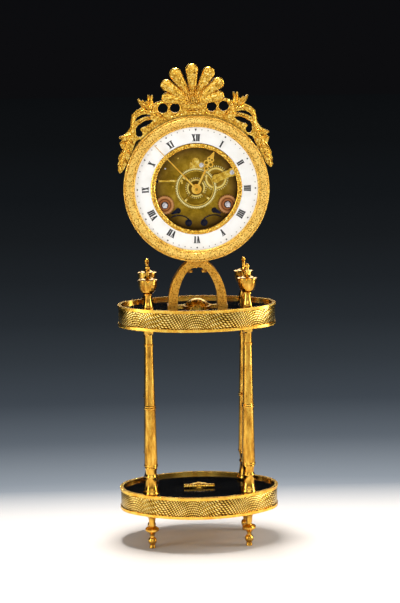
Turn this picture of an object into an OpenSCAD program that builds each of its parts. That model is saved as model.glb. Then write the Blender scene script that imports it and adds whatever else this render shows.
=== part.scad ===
// Gilt table clock: a round open dial on an arch, over two oval tiers
// joined by four turned columns. Millimetres, Z up, origin on the floor
// under the middle of the feet, dial facing -Y.

/* [Oval tiers] */
// Half the length of the lower tier
base_half_len = 70; // [66:0.5:76]
// Half the width of the lower tier
base_half_wid = 43; // [40:0.5:46]
// Height of the lower tier's band
base_height = 19; // [17:0.5:24]
// How much smaller the upper tier is, all round
tier_step = 1.2; // [0:0.2:3]
// Height of the upper tier's band
platform_height = 18.5; // [17:0.5:24]
// Wall of the gilt bands
tier_wall = 2.2; // [1.6:0.2:3]
// Width of the ledge that carries the black slab
slab_ledge = 3; // [2:0.5:5]
// Thickness of the tier's metal floor
tier_floor = 2.5; // [1.5:0.5:4]
// Thickness of the black slabs
slab_thick = 6; // [4:0.5:8]
// Depth of the slab's face below the band's rim
slab_recess = 2.2; // [1:0.2:4]
// Height of the milled edges of the bands
rim_height = 2.4; // [1.6:0.2:4]
// How far the milled edges stand proud of the band
rim_proud = 0.9; // [0.4:0.1:1.5]

/* [Posts] */
// Distance of the posts from the middle, left and right
post_x = 42.5; // [38:0.5:45]
// Height of the feet
foot_height = 31; // [28:0.5:36]
// Length of the columns
column_length = 147; // [125:1:170]
// Radius of the column's shaft at its foot
column_low_r = 5.8; // [4.8:0.1:6.2]
// Radius of the column's shaft at its head
column_high_r = 3.7; // [3.4:0.1:4.6]
// Radius of the steel rods inside the columns
rod_r = 1.5; // [1.2:0.1:1.7]
// Clearance round a rod
rod_clear = 0.2; // [0.1:0.05:0.3]
// Radius of the urns at the shoulder
urn_r = 8.2; // [7:0.2:9.5]

/* [Arch] */
// Inner radius of the arch
arch_inner_r = 17.1; // [15:0.1:19]
// Width of the arch's band, seen from the front
arch_band = 7.7; // [6:0.1:10]
// Depth of the arch
arch_depth = 14; // [10:0.5:18]
// Height of the straight legs under the round
arch_leg = 7; // [6.5:0.1:12]
// Height of the round opening above the straight legs
arch_rise = 29.8; // [24:0.1:34]
// Thickness of the arch over the opening
arch_crown = 6.5; // [5.5:0.1:8]

/* [Head] */
// Width of the bezel outside the enamel
bezel_band = 9.7; // [9.2:0.1:12.2]
// Radius of the enamel that shows inside the bezel
enamel_r = 51.8; // [51.5:0.1:52.5]
// Outer radius of the gilt ring inside the numerals
inner_ring_r = 38.4; // [37.6:0.1:40]
// Radius of the open centre of the dial
opening_r = 34.8; // [33:0.1:36]
// Thickness of the enamel ring
enamel_thick = 1.8; // [1.2:0.1:2]
// How much smaller the drum is than the bezel
drum_step = 1.5; // [0.7:0.1:2.5]
// Wall of the drum
drum_wall = 2.5; // [2:0.1:3]
// Length of the drum behind the bezel
drum_depth = 35; // [33:0.5:37]
// Turn of the crest about the dial, as it sits on the real clock
crest_lean = 1.5; // [0:0.5:3]
// Thickness of the crest's castings
crest_thick = 3.2; // [2.4:0.1:4]

/* [Hands] */
// Length of the minute hand
minute_len = 51; // [46:0.5:51]
// Length of the hour hand
hour_len = 34.6; // [30:0.2:37]
// Minutes shown
minutes_shown = 52.8; // [0:0.2:59.8]
// Hour hand's angle from twelve
hour_angle = 26; // [0:0.5:359.5]

/* [Movement] */
// How far the front plate reaches past the enamel's visible edge
plate_lap = 1.2; // [-0.3:0.1:3.2]
// How much smaller the back plate is than the front plate
plate_step = 6; // [5.5:0.1:7]
// Thickness of the plates
plate_thick = 2.5; // [2:0.1:2.8]
// Radius of the train arbors
arbor_r = 1; // [0.85:0.05:1.1]
// Radius of the arbors' pivots
pivot_r = 0.6; // [0.45:0.05:0.7]
// Running clearance of pivots and bores
run_clear = 0.05; // [0.03:0.01:0.08]
// Thickness of the train wheels
wheel_thick = 1.2; // [0.9:0.1:1.4]
// Tip radius of the winding ratchets
ratchet_r = 8.6; // [7.8:0.1:9]
// Side of the winding squares
square_side = 3.4; // [2.6:0.1:3.5]
// Half swing of the pendulum, in degrees, that the parts leave room for
half_swing = 4; // [3:0.5:5]
// Length of the pendulum from its bend to the middle of the bob
pendulum_len = 98; // [92:0.5:99]
// Radius of the pendulum bob
bob_r = 10; // [8:0.5:11]
// Radius of the bell's mouth
bell_r = 28; // [25:0.5:28.5]
// Wall of the bell
bell_wall = 1.4; // [1:0.1:1.8]

/* [Hidden] */
$fn = 96;
eps = 0.01;

platform_half_len = base_half_len - tier_step;
platform_half_wid = base_half_wid - tier_step;
// The posts stand as near the upper tier's wall as the urns' feet allow
end_share = 0.66;
urn_base_r = 5.2;
urn_wall_gap = 0.3;
platform_side_r = side_radius(platform_half_len, platform_half_wid,
                              end_share * platform_half_wid);
post_reach = platform_side_r - rim_proud - tier_wall - urn_base_r - urn_wall_gap;
post_y = platform_half_wid - platform_side_r + sqrt(pow(post_reach, 2) - pow(post_x, 2));

// Radii of the head that follow the dial
bezel_r = enamel_r + bezel_band;
drum_r = bezel_r - drum_step;
front_plate_r = enamel_r + plate_lap;
back_plate_r = front_plate_r - plate_step;

// Heights of the stand
base_top = foot_height + base_height;
base_slab_top = base_top - slab_recess;
platform_floor = base_slab_top + column_length;
platform_top = platform_floor + platform_height;
platform_slab_top = platform_top - slab_recess;

// The dial's centre rests on the arch
arch_outer_r = arch_inner_r + arch_band;
arch_saddle = 0.5;
dial_z = platform_slab_top + arch_leg + arch_rise + arch_crown + arch_saddle + drum_r;

// Depths in the head are counted forward from the stand's middle plane
bezel_back = 23;
drum_front = bezel_back;
drum_back = drum_front - drum_depth;
arch_front = bezel_back;
dial_plate_back = bezel_back + 0.6;
dial_plate_thick = 1.2;
enamel_back = dial_plate_back + dial_plate_thick;
enamel_front = enamel_back + enamel_thick;
enamel_fit = 0.2;
lip_overlap = 1.4;
bezel_bore = enamel_r + lip_overlap + enamel_fit;
bezel_lip = enamel_front + enamel_fit;
inner_ring_front = enamel_front + 0.8;
plate_front = 15;
plate_back = plate_front - plate_thick;
plate_gap = 20.5;
rear_plate_front = plate_back - plate_gap;
rear_plate_back = rear_plate_front - plate_thick;
end_shake = 0.2;
flange_inner_r = back_plate_r + 1;
flange_thick = 2;
flange_screw_r = (flange_inner_r + front_plate_r) / 2;

// Layers of the dial train, in front of the front plate
motion_low = plate_front + 1.2;
motion_high = motion_low + wheel_thick + 1;
hour_hand_back = inner_ring_front + 0.5;
hand_thick = 0.7;
minute_hand_back = hour_hand_back + hand_thick + 0.7;
centre_r = 1.2;
cannon_pipe_r = 2;
hour_pipe_r = 2.8;

// Layers of the trains between the plates, counted from the front
layer_second = plate_back - 2;
layer_centre = plate_back - 5;
layer_pin = plate_back - 8;
layer_third = plate_back - 11.4;
layer_escape = plate_back - 14.8;
barrel_front = plate_back - 3;
barrel_back = rear_plate_front + 1.2;
barrel_tooth_h = 2;

// Teeth of every wheel and pinion, with the module of each mesh
cannon_teeth = 30;
minute_wheel_teeth = 36;
minute_pinion_teeth = 8;
hour_wheel_teeth = 80;
motion_distance = 18.8;
motion_m1 = 2 * motion_distance / (cannon_teeth + minute_wheel_teeth);
motion_m2 = 2 * motion_distance / (minute_pinion_teeth + hour_wheel_teeth);
barrel_teeth = 80;
second_pinion_teeth = 10;
barrel_m = 0.38;
second_teeth = 78;
centre_pinion_teeth = 12;
second_m = 0.36;
centre_teeth = 84;
third_pinion_teeth = 7;
centre_m = 0.32;
third_teeth = 84;
escape_pinion_teeth = 7;
third_m = 0.28;
escape_teeth = 40;
escape_r = 10.4;
strike_second_teeth = 72;
pin_pinion_teeth = 8;
strike_m = 0.34;
pin_wheel_teeth = 64;
lock_pinion_teeth = 8;
lock_teeth = 56;
fly_pinion_teeth = 8;
lock_m = 0.3;
ratchet_teeth = 24;

function mesh_distance(m, n1, n2) = m * (n1 + n2) / 2;
// Point at distance r1 from p1 and r2 from p2, to the left of the way there
function two_circles(p1, r1, p2, r2) =
    let (d = norm(p2 - p1), u = (p2 - p1) / d, a = (r1 * r1 - r2 * r2 + d * d) / (2 * d),
         h = sqrt(r1 * r1 - a * a))
    p1 + a * u + h * [-u[1], u[0]];
function polar(r, angle) = r * [cos(angle), sin(angle)];
function angle_of(v) = atan2(v[1], v[0]);
// Angle of a tooth on the second gear that meshes with the first at rest
function mesh_phase(p1, n1, phase1, p2, n2) =
    let (way = angle_of(p2 - p1)) way + 180 - 180 / n2 + (way - phase1) * n1 / n2;

// Arbor positions seen from the front, from the dial's centre
centre_at = [0, 0];
minute_at = polar(motion_distance, 25.5);
going_at = [26.7, -14.2];
strike_at = [-26.7, -14.2];
second_at = two_circles(going_at, mesh_distance(barrel_m, barrel_teeth, second_pinion_teeth),
                        centre_at, mesh_distance(second_m, second_teeth, centre_pinion_teeth));
escape_at = [0, 22.5];
third_at = two_circles(escape_at, mesh_distance(third_m, third_teeth, escape_pinion_teeth),
                       centre_at, mesh_distance(centre_m, centre_teeth, third_pinion_teeth));
anchor_at = escape_at + [0, escape_r * sqrt(2)];
strike_second_at = strike_at
    + polar(mesh_distance(barrel_m, barrel_teeth, second_pinion_teeth), 65);
pin_at = strike_second_at
    + polar(mesh_distance(strike_m, strike_second_teeth, pin_pinion_teeth), 60);
lock_at = pin_at + polar(mesh_distance(strike_m, pin_wheel_teeth, lock_pinion_teeth), 100);
fly_at = lock_at + polar(mesh_distance(lock_m, lock_teeth, fly_pinion_teeth), 150);
hammer_at = pin_at + polar(13.5, 165);
bell_at = [0, -4];
hammer_head_r = 3;
hammer_gap = 0.5;
hammer_reach = 20;
hammer_head_at = two_circles(hammer_at, hammer_reach,
                             bell_at, bell_r + hammer_gap + hammer_head_r);
pillar_r = 2.5;
pillar_spots = [[-36, 22], [36, 22], [-13, -41], [13, -41]];
dial_foot_ring = 45;
plate_screw_angles = [20, 70, 110, 160, 200, 340];

// Layers behind the back plate
crutch_front = rear_plate_back - 1;
crutch_thick = 1.2;
cock_front = rear_plate_back - 3;
cock_thick = 2;
pendulum_w = cock_front - cock_thick - 2.4;
rod_pendulum_r = 1.1;
bell_front = pendulum_w - 3.5;
bell_depth = 17;
bell_sphere = (bell_r * bell_r + bell_depth * bell_depth) / (2 * bell_depth);
bell_post_at = [14, 6];

// Turns of the meshing gears at rest
cannon_phase = -minutes_shown * 6;
minute_wheel_phase = mesh_phase(centre_at, cannon_teeth, cannon_phase, minute_at,
                                minute_wheel_teeth);
minute_pinion_phase = minute_wheel_phase;
hour_wheel_phase = mesh_phase(minute_at, minute_pinion_teeth, minute_pinion_phase, centre_at,
                              hour_wheel_teeth);
centre_pinion_phase = cannon_phase;
second_phase = mesh_phase(centre_at, centre_pinion_teeth, centre_pinion_phase, second_at,
                          second_teeth);
going_phase = mesh_phase(second_at, second_pinion_teeth, second_phase, going_at, barrel_teeth);
third_pinion_phase = mesh_phase(centre_at, centre_teeth, cannon_phase, third_at,
                                third_pinion_teeth);
escape_pinion_phase = mesh_phase(third_at, third_teeth, third_pinion_phase, escape_at,
                                 escape_pinion_teeth);
strike_second_phase = mesh_phase(strike_at, barrel_teeth, 0, strike_second_at,
                                 second_pinion_teeth);
pin_phase = mesh_phase(strike_second_at, strike_second_teeth, strike_second_phase, pin_at,
                       pin_pinion_teeth);
lock_phase = mesh_phase(pin_at, pin_wheel_teeth, pin_phase, lock_at, lock_pinion_teeth);
fly_phase = mesh_phase(lock_at, lock_teeth, lock_phase, fly_at, fly_pinion_teeth);

gilt = "goldenrod";
satin_brass = "darkkhaki";
polished_steel = "silver";
blued_steel = "midnightblue";
copper_brass = "peru";

// Four-centre oval: end arcs of radius end_r, side arcs tangent to them
function side_radius(half_len, half_wid, end_r) =
    (pow(half_len - end_r, 2) + pow(half_wid, 2) - pow(end_r, 2)) / (2 * (half_wid - end_r));

module oval(half_len, half_wid, end_r) {
    side_r = side_radius(half_len, half_wid, end_r);
    join_x = (half_len - end_r) * side_r / (side_r - end_r);
    for (side = [-1, 1]) translate([side * (half_len - end_r), 0]) circle(end_r);
    intersection() {
        translate([0, half_wid - side_r]) circle(side_r, $fn = 180);
        translate([0, side_r - half_wid]) circle(side_r, $fn = 180);
        square([2 * join_x, 2 * half_wid + 1], center = true);
    }
}

// Oval drawn in by inset from a tier's outer edge
module tier_oval(half_len, half_wid, inset) {
    oval(half_len - inset, half_wid - inset, end_share * half_wid - inset);
}

module tier(half_len, half_wid, height) {
    bed = height - slab_recess - slab_thick;
    difference() {
        union() {
            linear_extrude(rim_height) tier_oval(half_len, half_wid, 0);
            linear_extrude(height) tier_oval(half_len, half_wid, rim_proud);
            translate([0, 0, height - rim_height]) linear_extrude(rim_height)
                tier_oval(half_len, half_wid, 0);
        }
        translate([0, 0, tier_floor]) linear_extrude(height)
            tier_oval(half_len, half_wid, rim_proud + tier_wall + slab_ledge);
        translate([0, 0, bed]) linear_extrude(height)
            tier_oval(half_len, half_wid, rim_proud + tier_wall);
        rod_holes(-1, height + 1);
    }
}

module slab(half_len, half_wid) {
    slab_fit = 0.2;
    difference() {
        linear_extrude(slab_thick) tier_oval(half_len, half_wid, rim_proud + tier_wall + slab_fit);
        rod_holes(-1, slab_thick + 1);
    }
}

module at_posts() {
    for (x = [-post_x, post_x], y = [-post_y, post_y]) translate([x, y, 0]) children();
}

module rod_holes(from, to) {
    at_posts() translate([0, 0, from]) cylinder(h = to - from, r = rod_r + rod_clear);
}

module base_gallery() {
    color(gilt) translate([0, 0, foot_height])
        tier(base_half_len, base_half_wid, base_height);
}

module base_slab() {
    color("black") translate([0, 0, base_slab_top - slab_thick])
        slab(base_half_len, base_half_wid);
}

module platform_gallery() {
    color(gilt) translate([0, 0, platform_floor])
        tier(platform_half_len, platform_half_wid, platform_height);
}

module platform_slab() {
    color("black") translate([0, 0, platform_slab_top - slab_thick]) difference() {
        slab(platform_half_len, platform_half_wid);
        arch_screw_holes();
    }
}

// Bound sheaf lying on the lower slab
module base_mount() {
    half_len = 14.5;
    body_r = 4.4;
    bar_r = 1.9;
    bar_y = -2.6;
    bar_from = 3.4;
    knot_r = 4.7;
    knot_half = 2.6;
    flat = 0.4;
    arc_r = (half_len * half_len + body_r * body_r) / (2 * body_r);
    color(gilt) translate([0, 0, base_slab_top]) difference() {
        union() {
            translate([0, 0, -flat]) rotate([0, 90, 0]) rotate_extrude() intersection() {
                translate([body_r - arc_r, 0]) circle(arc_r);
                translate([0, -half_len]) square([body_r, 2 * half_len]);
            }
            for (side = [-1, 1]) translate([0, bar_y, bar_r - flat]) rotate([0, side * 90, 0]) {
                cylinder(h = half_len - 1, r = bar_r);
                translate([0, 0, bar_from]) cylinder(h = 1.2, r = bar_r + 0.4);
            }
            translate([0, 0, -flat]) rotate([0, 90, 0]) {
                cylinder(h = 2 * knot_half - 2, r = knot_r, center = true);
                cylinder(h = 2 * knot_half, r = knot_r - 0.7, center = true);
            }
        }
        translate([0, 0, -knot_r]) cube([4 * half_len, 4 * knot_r, 2 * knot_r], center = true);
    }
}

// Low fluted boss under the arch
module platform_mount() {
    boss_r = 11.7;
    boss_h = 7.4;
    flutes = 16;
    wing_end = 16.5;
    dome = (boss_r * boss_r + boss_h * boss_h) / (2 * boss_h);
    color(gilt) translate([0, -5, platform_slab_top]) difference() {
        union() {
            intersection() {
                translate([0, 0, boss_h - dome]) sphere(dome);
                cylinder(h = boss_h, r = boss_r);
            }
            cylinder(h = 1.4, r = boss_r + 0.8);
            for (side = [-1, 1]) translate([side * (wing_end + boss_r) / 2, 0, 0.8])
                cube([wing_end - boss_r + 3, 3, 1.6], center = true);
        }
        for (i = [0 : flutes - 1]) rotate(i * 360 / flutes) translate([boss_r + 0.4, 0, 1.4])
            cylinder(h = boss_h, r = 1.3);
    }
}

// Radius of a hollow curve between two radii, at the share t of its height
function flare(r_from, r_to, t) = r_from + (r_to - r_from) * (1 - cos(90 * t));
function flare_points(r_from, z_from, r_to, z_to, steps = 6) =
    [for (i = [0 : steps]) [flare(r_from, r_to, i / steps),
                            z_from + (z_to - z_from) * i / steps]];

function reversed(list) = [for (i = [len(list) - 1 : -1 : 0]) list[i]];

module foot() {
    ball_r = 3.9;
    ball_z = 6.6;
    rod_depth = 9;
    difference() {
        union() {
            rotate_extrude() polygon([[0, 0], [2.7, 0], [2.9, 0.6], [2.4, 3], [0, 4]]);
            translate([0, 0, ball_z]) sphere(ball_r);
            rotate_extrude() polygon(concat(
                [[0, ball_z + 2], [2.2, ball_z + 2], [2, 10.9]],
                flare_points(2, 11.2, 5.2, 15.4),
                [[6, 16], [6, 17.6], [5.2, 18.4], [3.2, 19.2]],
                [[2.5, 20], [3, foot_height - 5], [3.6, foot_height - 3]],
                [[5, foot_height - 1.6], [5, foot_height], [0, foot_height]]));
        }
        translate([0, 0, foot_height - rod_depth])
            cylinder(h = rod_depth + 1, r = rod_r + rod_clear);
    }
}

module feet() {
    color(gilt) at_posts() foot();
}

// Turned column, standing on the lower slab
module column() {
    low = 28;
    middle = 79;
    high = column_length - 13.5;
    shaft_r = function (z) column_low_r
        + (column_high_r - column_low_r) * (z - low) / (high - low);
    difference() {
        rotate_extrude() polygon(concat(
            [[0, 0], [5.7, 0], [5.7, 3.6], [5.2, 4.4], [4.6, 4.8], [5, 5.6], [4.6, 6.4]],
            reversed(flare_points(3.1, 15.4, 4.4, 6.8)),
            [[3.1, 17.4], [4.1, 17.8], [4.3, 18.5], [4.1, 19.2], [3.2, 19.6]],
            flare_points(3.2, 20, column_low_r - 0.2, low - 2),
            [[column_low_r + 0.3, low - 1.6], [column_low_r + 0.3, low - 0.6]],
            [[shaft_r(low), low], [shaft_r(middle - 2), middle - 2]],
            [[shaft_r(middle) + 0.6, middle - 1.6], [shaft_r(middle) + 0.7, middle - 0.6]],
            [[shaft_r(middle) + 0.2, middle], [shaft_r(middle) + 0.5, middle + 1]],
            [[shaft_r(middle), middle + 1.6], [shaft_r(high - 1.4), high - 1.4]],
            [[column_high_r + 0.7, high - 1], [column_high_r + 0.7, high + 0.4]],
            [[column_high_r - 0.1, high + 1], [column_high_r, column_length - 4.6]],
            [[column_high_r + 1.2, column_length - 3]],
            [[column_high_r + 1.4, column_length], [0, column_length]]));
        translate([0, 0, -1]) cylinder(h = column_length + 2, r = rod_r + rod_clear);
    }
}

module placed_column(side, depth) {
    color(gilt) translate([side * post_x, depth * post_y, base_slab_top]) column();
}

module column_front_left() { placed_column(-1, -1); }
module column_front_right() { placed_column(1, -1); }
module column_back_left() { placed_column(-1, 1); }
module column_back_right() { placed_column(1, 1); }

// Steel rods that draw feet, tiers, columns and urns together
module tie_rods() {
    from = foot_height - 8.6;
    to = platform_slab_top + 8;
    color(polished_steel) at_posts() translate([0, 0, from]) cylinder(h = to - from, r = rod_r);
}

module urn() {
    neck_z = 7.4;
    shoulder_z = 25.9;
    knob_z = 37;
    knob_r = 2.2;
    difference() {
        union() {
            rotate_extrude() polygon(concat(
                [[0, 0], [urn_base_r, 0], [urn_base_r, 2.6], [urn_base_r - 0.6, 3.2],
                 [urn_base_r - 0.6, 4.2], [4.2, 5]],
                [[3.5, neck_z], [3.1, neck_z + 3], [3, 13], [3.9, 13.6], [3.9, 14.4], [3.3, 15]],
                [for (t = [0 : 6]) [3.3 + (urn_r - 3.3) * sin(15 * t),
                                    15 + (shoulder_z - 15) * (1 - cos(15 * t))]],
                [[urn_r + 0.3, shoulder_z + 0.3], [urn_r + 0.3, shoulder_z + 1]],
                [[urn_r - 1.2, shoulder_z + 1.6]],
                [for (t = [1 : 6]) [urn_r - 1.2 - (urn_r - 2.4) * sin(15 * t),
                                    shoulder_z + 1.6 + 4.4 * (1 - cos(15 * t))]],
                [[1.2, knob_z - 3], [2, knob_z - 2.4], [1.6, knob_z - 1.6], [0, knob_z - 1]]));
            translate([0, 0, knob_z]) sphere(knob_r);
        }
        translate([0, 0, -1]) cylinder(h = 9.6, r = rod_r + rod_clear);
    }
}

module placed_urn(side, depth) {
    color(gilt) translate([side * post_x, depth * post_y, platform_slab_top]) urn();
}

module urn_front_left() { placed_urn(-1, -1); }
module urn_front_right() { placed_urn(1, -1); }
module urn_back_left() { placed_urn(-1, 1); }
module urn_back_right() { placed_urn(1, 1); }

// Frame of the head: seen from the front, X right, Y up, Z towards the eye
module head() {
    translate([0, 0, dial_z]) rotate([90, 0, 0]) children();
}

// A slice of the head from one depth to a nearer one
module layer(back, front) {
    translate([0, 0, back]) linear_extrude(front - back) children();
}

module rod(at, back, front, r) {
    translate([at[0], at[1], back]) cylinder(h = front - back, r = r);
}

arch_screw_x = (arch_inner_r + arch_outer_r) / 2;
arch_screw_r = 1.2;
saddle_screw_x = 6;

// Share of the arch's half width that is the radius at its top
arch_top_share = 0.68;

// Upper half of a tall oval
module arch_round(half_span, rise) {
    intersection() {
        rotate(90) oval(rise, half_span, arch_top_share * half_span);
        translate([-half_span, 0]) square([2 * half_span, rise + 1]);
    }
}

module arch_screw_holes() {
    for (side = [-1, 1]) translate([side * arch_screw_x, arch_depth / 2 - arch_front, -1])
        cylinder(h = slab_thick + 2, r = arch_screw_r + rod_clear);
}

// Arch with small shoes, hollowed at the top to seat the drum
module arch() {
    shoe = 0.9;
    shoe_h = 4;
    spring = platform_slab_top + arch_leg;
    crown_half = 9;
    color(gilt) difference() {
        translate([0, arch_depth - arch_front, 0]) rotate([90, 0, 0])
            linear_extrude(arch_depth) {
                difference() {
                    union() {
                        translate([0, spring]) arch_round(arch_outer_r, arch_rise + arch_crown);
                        translate([-arch_outer_r, platform_slab_top])
                            square([2 * arch_outer_r, arch_leg]);
                        translate([-crown_half, spring])
                            square([2 * crown_half, dial_z - drum_r - spring + 4]);
                        for (side = [-1, 1])
                            translate([side * (arch_outer_r + shoe - arch_band / 2) - arch_band / 2,
                                       platform_slab_top])
                                square([arch_band, shoe_h]);
                    }
                    translate([0, spring]) arch_round(arch_inner_r, arch_rise);
                    translate([-arch_inner_r, platform_slab_top - 1])
                        square([2 * arch_inner_r, arch_leg + 1]);
                    translate([0, dial_z]) circle(drum_r, $fn = 180);
                }
            }
        for (side = [-1, 1]) {
            translate([side * arch_screw_x, arch_depth / 2 - arch_front, platform_slab_top - 1])
                cylinder(h = 9, r = arch_screw_r + rod_clear);
            translate([side * saddle_screw_x, arch_depth / 2 - arch_front, spring])
                cylinder(h = arch_rise + arch_crown + 6, r = arch_screw_r + rod_clear);
        }
    }
}

// Two screws up into the legs, two up through the crown into the drum
module arch_screws() {
    head_r = 2.4;
    head_h = 1.6;
    top_r = arch_top_share * arch_inner_r;
    crown_under = arch_rise - top_r + sqrt(pow(top_r, 2) - pow(saddle_screw_x + head_r, 2));
    spring = platform_slab_top + arch_leg;
    color(polished_steel) translate([0, arch_depth / 2 - arch_front, 0])
        for (side = [-1, 1]) {
            translate([side * arch_screw_x, 0, platform_slab_top - slab_thick - head_h])
                cylinder(h = head_h, r = head_r);
            translate([side * arch_screw_x, 0, platform_slab_top - slab_thick])
                cylinder(h = slab_thick + 7, r = arch_screw_r);
            translate([side * saddle_screw_x, 0, spring + crown_under - head_h])
                cylinder(h = head_h, r = head_r);
            translate([side * saddle_screw_x, 0, spring + crown_under])
                cylinder(h = dial_z - drum_r + drum_wall - spring - crown_under,
                         r = arch_screw_r);
        }
}

module ring(outer, inner) {
    difference() {
        circle(outer, $fn = 180);
        circle(inner, $fn = 180);
    }
}

// Drum with an inner flange that carries the movement, and a moulded back rim
module drum() {
    inner_r = drum_r - drum_wall;
    color(gilt) difference() {
        head() rotate_extrude($fn = 180) {
            translate([inner_r, drum_back]) square([drum_wall, drum_depth]);
            translate([flange_inner_r, plate_back - flange_thick])
                square([inner_r - flange_inner_r + eps, flange_thick]);
            polygon([[inner_r, drum_back], [drum_r + 1.5, drum_back],
                     [drum_r + 1.5, drum_back + 1.6], [drum_r + 0.8, drum_back + 2.6],
                     [drum_r, drum_back + 3.4], [inner_r, drum_back + 3.4]]);
        }
        head() for (a = plate_screw_angles)
            rod(polar(flange_screw_r, a), plate_back - flange_thick - 1, plate_back + 1,
                screw_r + rod_clear);
        for (side = [-1, 1])
            translate([side * saddle_screw_x, arch_depth / 2 - arch_front, dial_z - drum_r - 1])
                cylinder(h = drum_wall + 3, r = arch_screw_r + rod_clear);
    }
}

module bezel() {
    front = bezel_lip + 3.2;
    middle = (bezel_r + enamel_r) / 2;
    color(gilt) head() rotate_extrude($fn = 180) polygon([
        [bezel_bore, bezel_back], [bezel_r, bezel_back], [bezel_r, front - 1.7],
        [bezel_r - 0.3, front - 0.9], [bezel_r - 1, front - 0.6], [bezel_r - 1.6, front - 1],
        [bezel_r - 2.2, front - 0.3], [middle, front], [enamel_r + 2.6, front - 0.4],
        [enamel_r + 2, front - 1.1], [enamel_r + 1.3, front - 0.8], [enamel_r + 0.5, front - 1.2],
        [enamel_r, front - 2], [enamel_r, bezel_lip], [bezel_bore, bezel_lip]]);
}

// White enamel ring that carries the numerals
module chapter_ring() {
    color("white") head() layer(enamel_back, enamel_front)
        ring(enamel_r + lip_overlap, inner_ring_r + enamel_fit);
}

module inner_ring() {
    color(gilt) head() rotate_extrude($fn = 180) polygon([
        [opening_r, enamel_back], [inner_ring_r, enamel_back],
        [inner_ring_r, inner_ring_front - 0.5], [inner_ring_r - 0.6, inner_ring_front - 0.1],
        [(inner_ring_r + opening_r) / 2, inner_ring_front],
        [opening_r + 0.5, inner_ring_front - 0.2], [opening_r, inner_ring_front - 0.6]]);
}

// Brass ring behind the enamel, with four feet to the front plate
module dial_plate() {
    foot_r = 2;
    color(satin_brass) head() {
        layer(dial_plate_back, enamel_back) ring(enamel_r + lip_overlap, opening_r);
        for (a = [45, 135, 225, 315])
            rod(polar(dial_foot_ring, a), plate_front, dial_plate_back, foot_r);
    }
}

// Tongue of the palmette: a round tip on a tapering stem
module tongue(at, tip_r) {
    from = palmette_root;
    way = angle_of(at - from);
    reach = norm(at - from);
    translate(at) circle(tip_r);
    translate(from) rotate(way - 90)
        polygon([[-1.6, 0], [1.6, 0], [tip_r * 0.97, reach - tip_r * 0.2],
                 [-tip_r * 0.97, reach - tip_r * 0.2]]);
}

// Tapering stroke with round joints through points [right, up, half width]
module stroke(run) {
    for (p = run) translate([p[0], p[1]]) circle(p[2]);
    for (i = [0 : len(run) - 2]) {
        from = [run[i][0], run[i][1]];
        to = [run[i + 1][0], run[i + 1][1]];
        way = angle_of(to - from);
        from_r = run[i][2] * 0.97;
        to_r = run[i + 1][2] * 0.97;
        lean = acos((from_r - to_r) / norm(to - from));
        polygon([from + polar(from_r, way - lean), to + polar(to_r, way - lean),
                 to + polar(to_r, way + lean), from + polar(from_r, way + lean)]);
    }
}

crest_back = bezel_back + 1.2;
crest_front = crest_back + crest_thick;
crest_seat = bezel_r + 0.05;
crest_relief = 1;
// The crest is drawn for a bezel of 61.5 mm and grows with the real one
crest_unit = bezel_r / 61.5;
palmette_root = [0, 72] * crest_unit;
// Right half of the palmette's tongues: place of the tip and its radius
tongues = [for (t = [[0, 99.1, 5.2], [13.7, 96, 5.2], [21.3, 87.2, 5], [21.5, 76.7, 4.6]])
    t * crest_unit];
tie_half = 9 * crest_unit;
tie_low = 66.5 * crest_unit;
tie_high = 72.4 * crest_unit;

module crest_palmette() {
    fan_r = 11 * crest_unit;
    color(gilt) head() rotate(crest_lean) {
        layer(crest_back, crest_front) difference() {
            union() {
                for (t = tongues, side = [-1, 1])
                    tongue([side * t[0], t[1]], t[2]);
                intersection() {
                    translate(palmette_root) circle(fan_r);
                    translate([-fan_r, palmette_root[1]]) square([2 * fan_r, fan_r]);
                }
                translate([-tie_half, tie_low]) square([2 * tie_half, tie_high - tie_low]);
                polygon([[-tie_half - 0.6, 60 * crest_unit], [tie_half + 0.6, 60 * crest_unit],
                         [tie_half, tie_low + 0.5], [-tie_half, tie_low + 0.5]]);
            }
            circle(crest_seat, $fn = 180);
        }
        layer(crest_front, crest_front + crest_relief) {
            for (t = tongues, side = [-1, 1]) {
                tip = [side * t[0], t[1]];
                low = palmette_root + 0.4 * (tip - palmette_root);
                stroke([[low[0], low[1], 1.2], [tip[0], tip[1], t[2] * 0.62]]);
            }
            translate([-tie_half + 0.6, tie_low + 0.7]) square([2 * tie_half - 1.2, 3]);
        }
    }
}

// Side scroll, drawn on the right: two ring holes, leaves, a scroll round a comma-shaped
// hole with a slit above it, and a leaf that hangs down beside the bezel
scroll_rings = [[15.3, 68.4, 4.1], [25.4, 68.4, 4.2]];
scroll_slit = [[36.2, 63, 0.6], [39.5, 63.2, 1.1], [43, 62.6, 1.4], [46.3, 61, 1.2],
               [48.3, 59.1, 0.6]];
scroll_comma = [[34.6, 58.6, 0.6], [37.5, 57.6, 1.8], [41, 56.3, 2.5], [44.8, 54.9, 2],
                [47, 51.6, 1.8], [45.9, 48.2, 2.8]];
scroll_ribs = [[[36, 66.2, 0.8], [42, 66.7, 1.1], [47.5, 64.6, 1.1], [50.4, 60.5, 1],
                [50.6, 55, 1], [51.5, 49.5, 1.2]],
               [[52.6, 45.5, 1], [56, 39, 1.5], [59, 32, 1.5], [61.5, 25, 1.2], [63.4, 18.5, 0.6]],
               [[35.6, 69, 1], [34.3, 78.3, 0.4]], [[37.8, 69, 0.9], [44.6, 75.8, 0.4]],
               [[54.4, 47.6, 0.9], [61, 45.9, 0.4]]];

function drawn(run) = [for (p = run) p * crest_unit];

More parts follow.
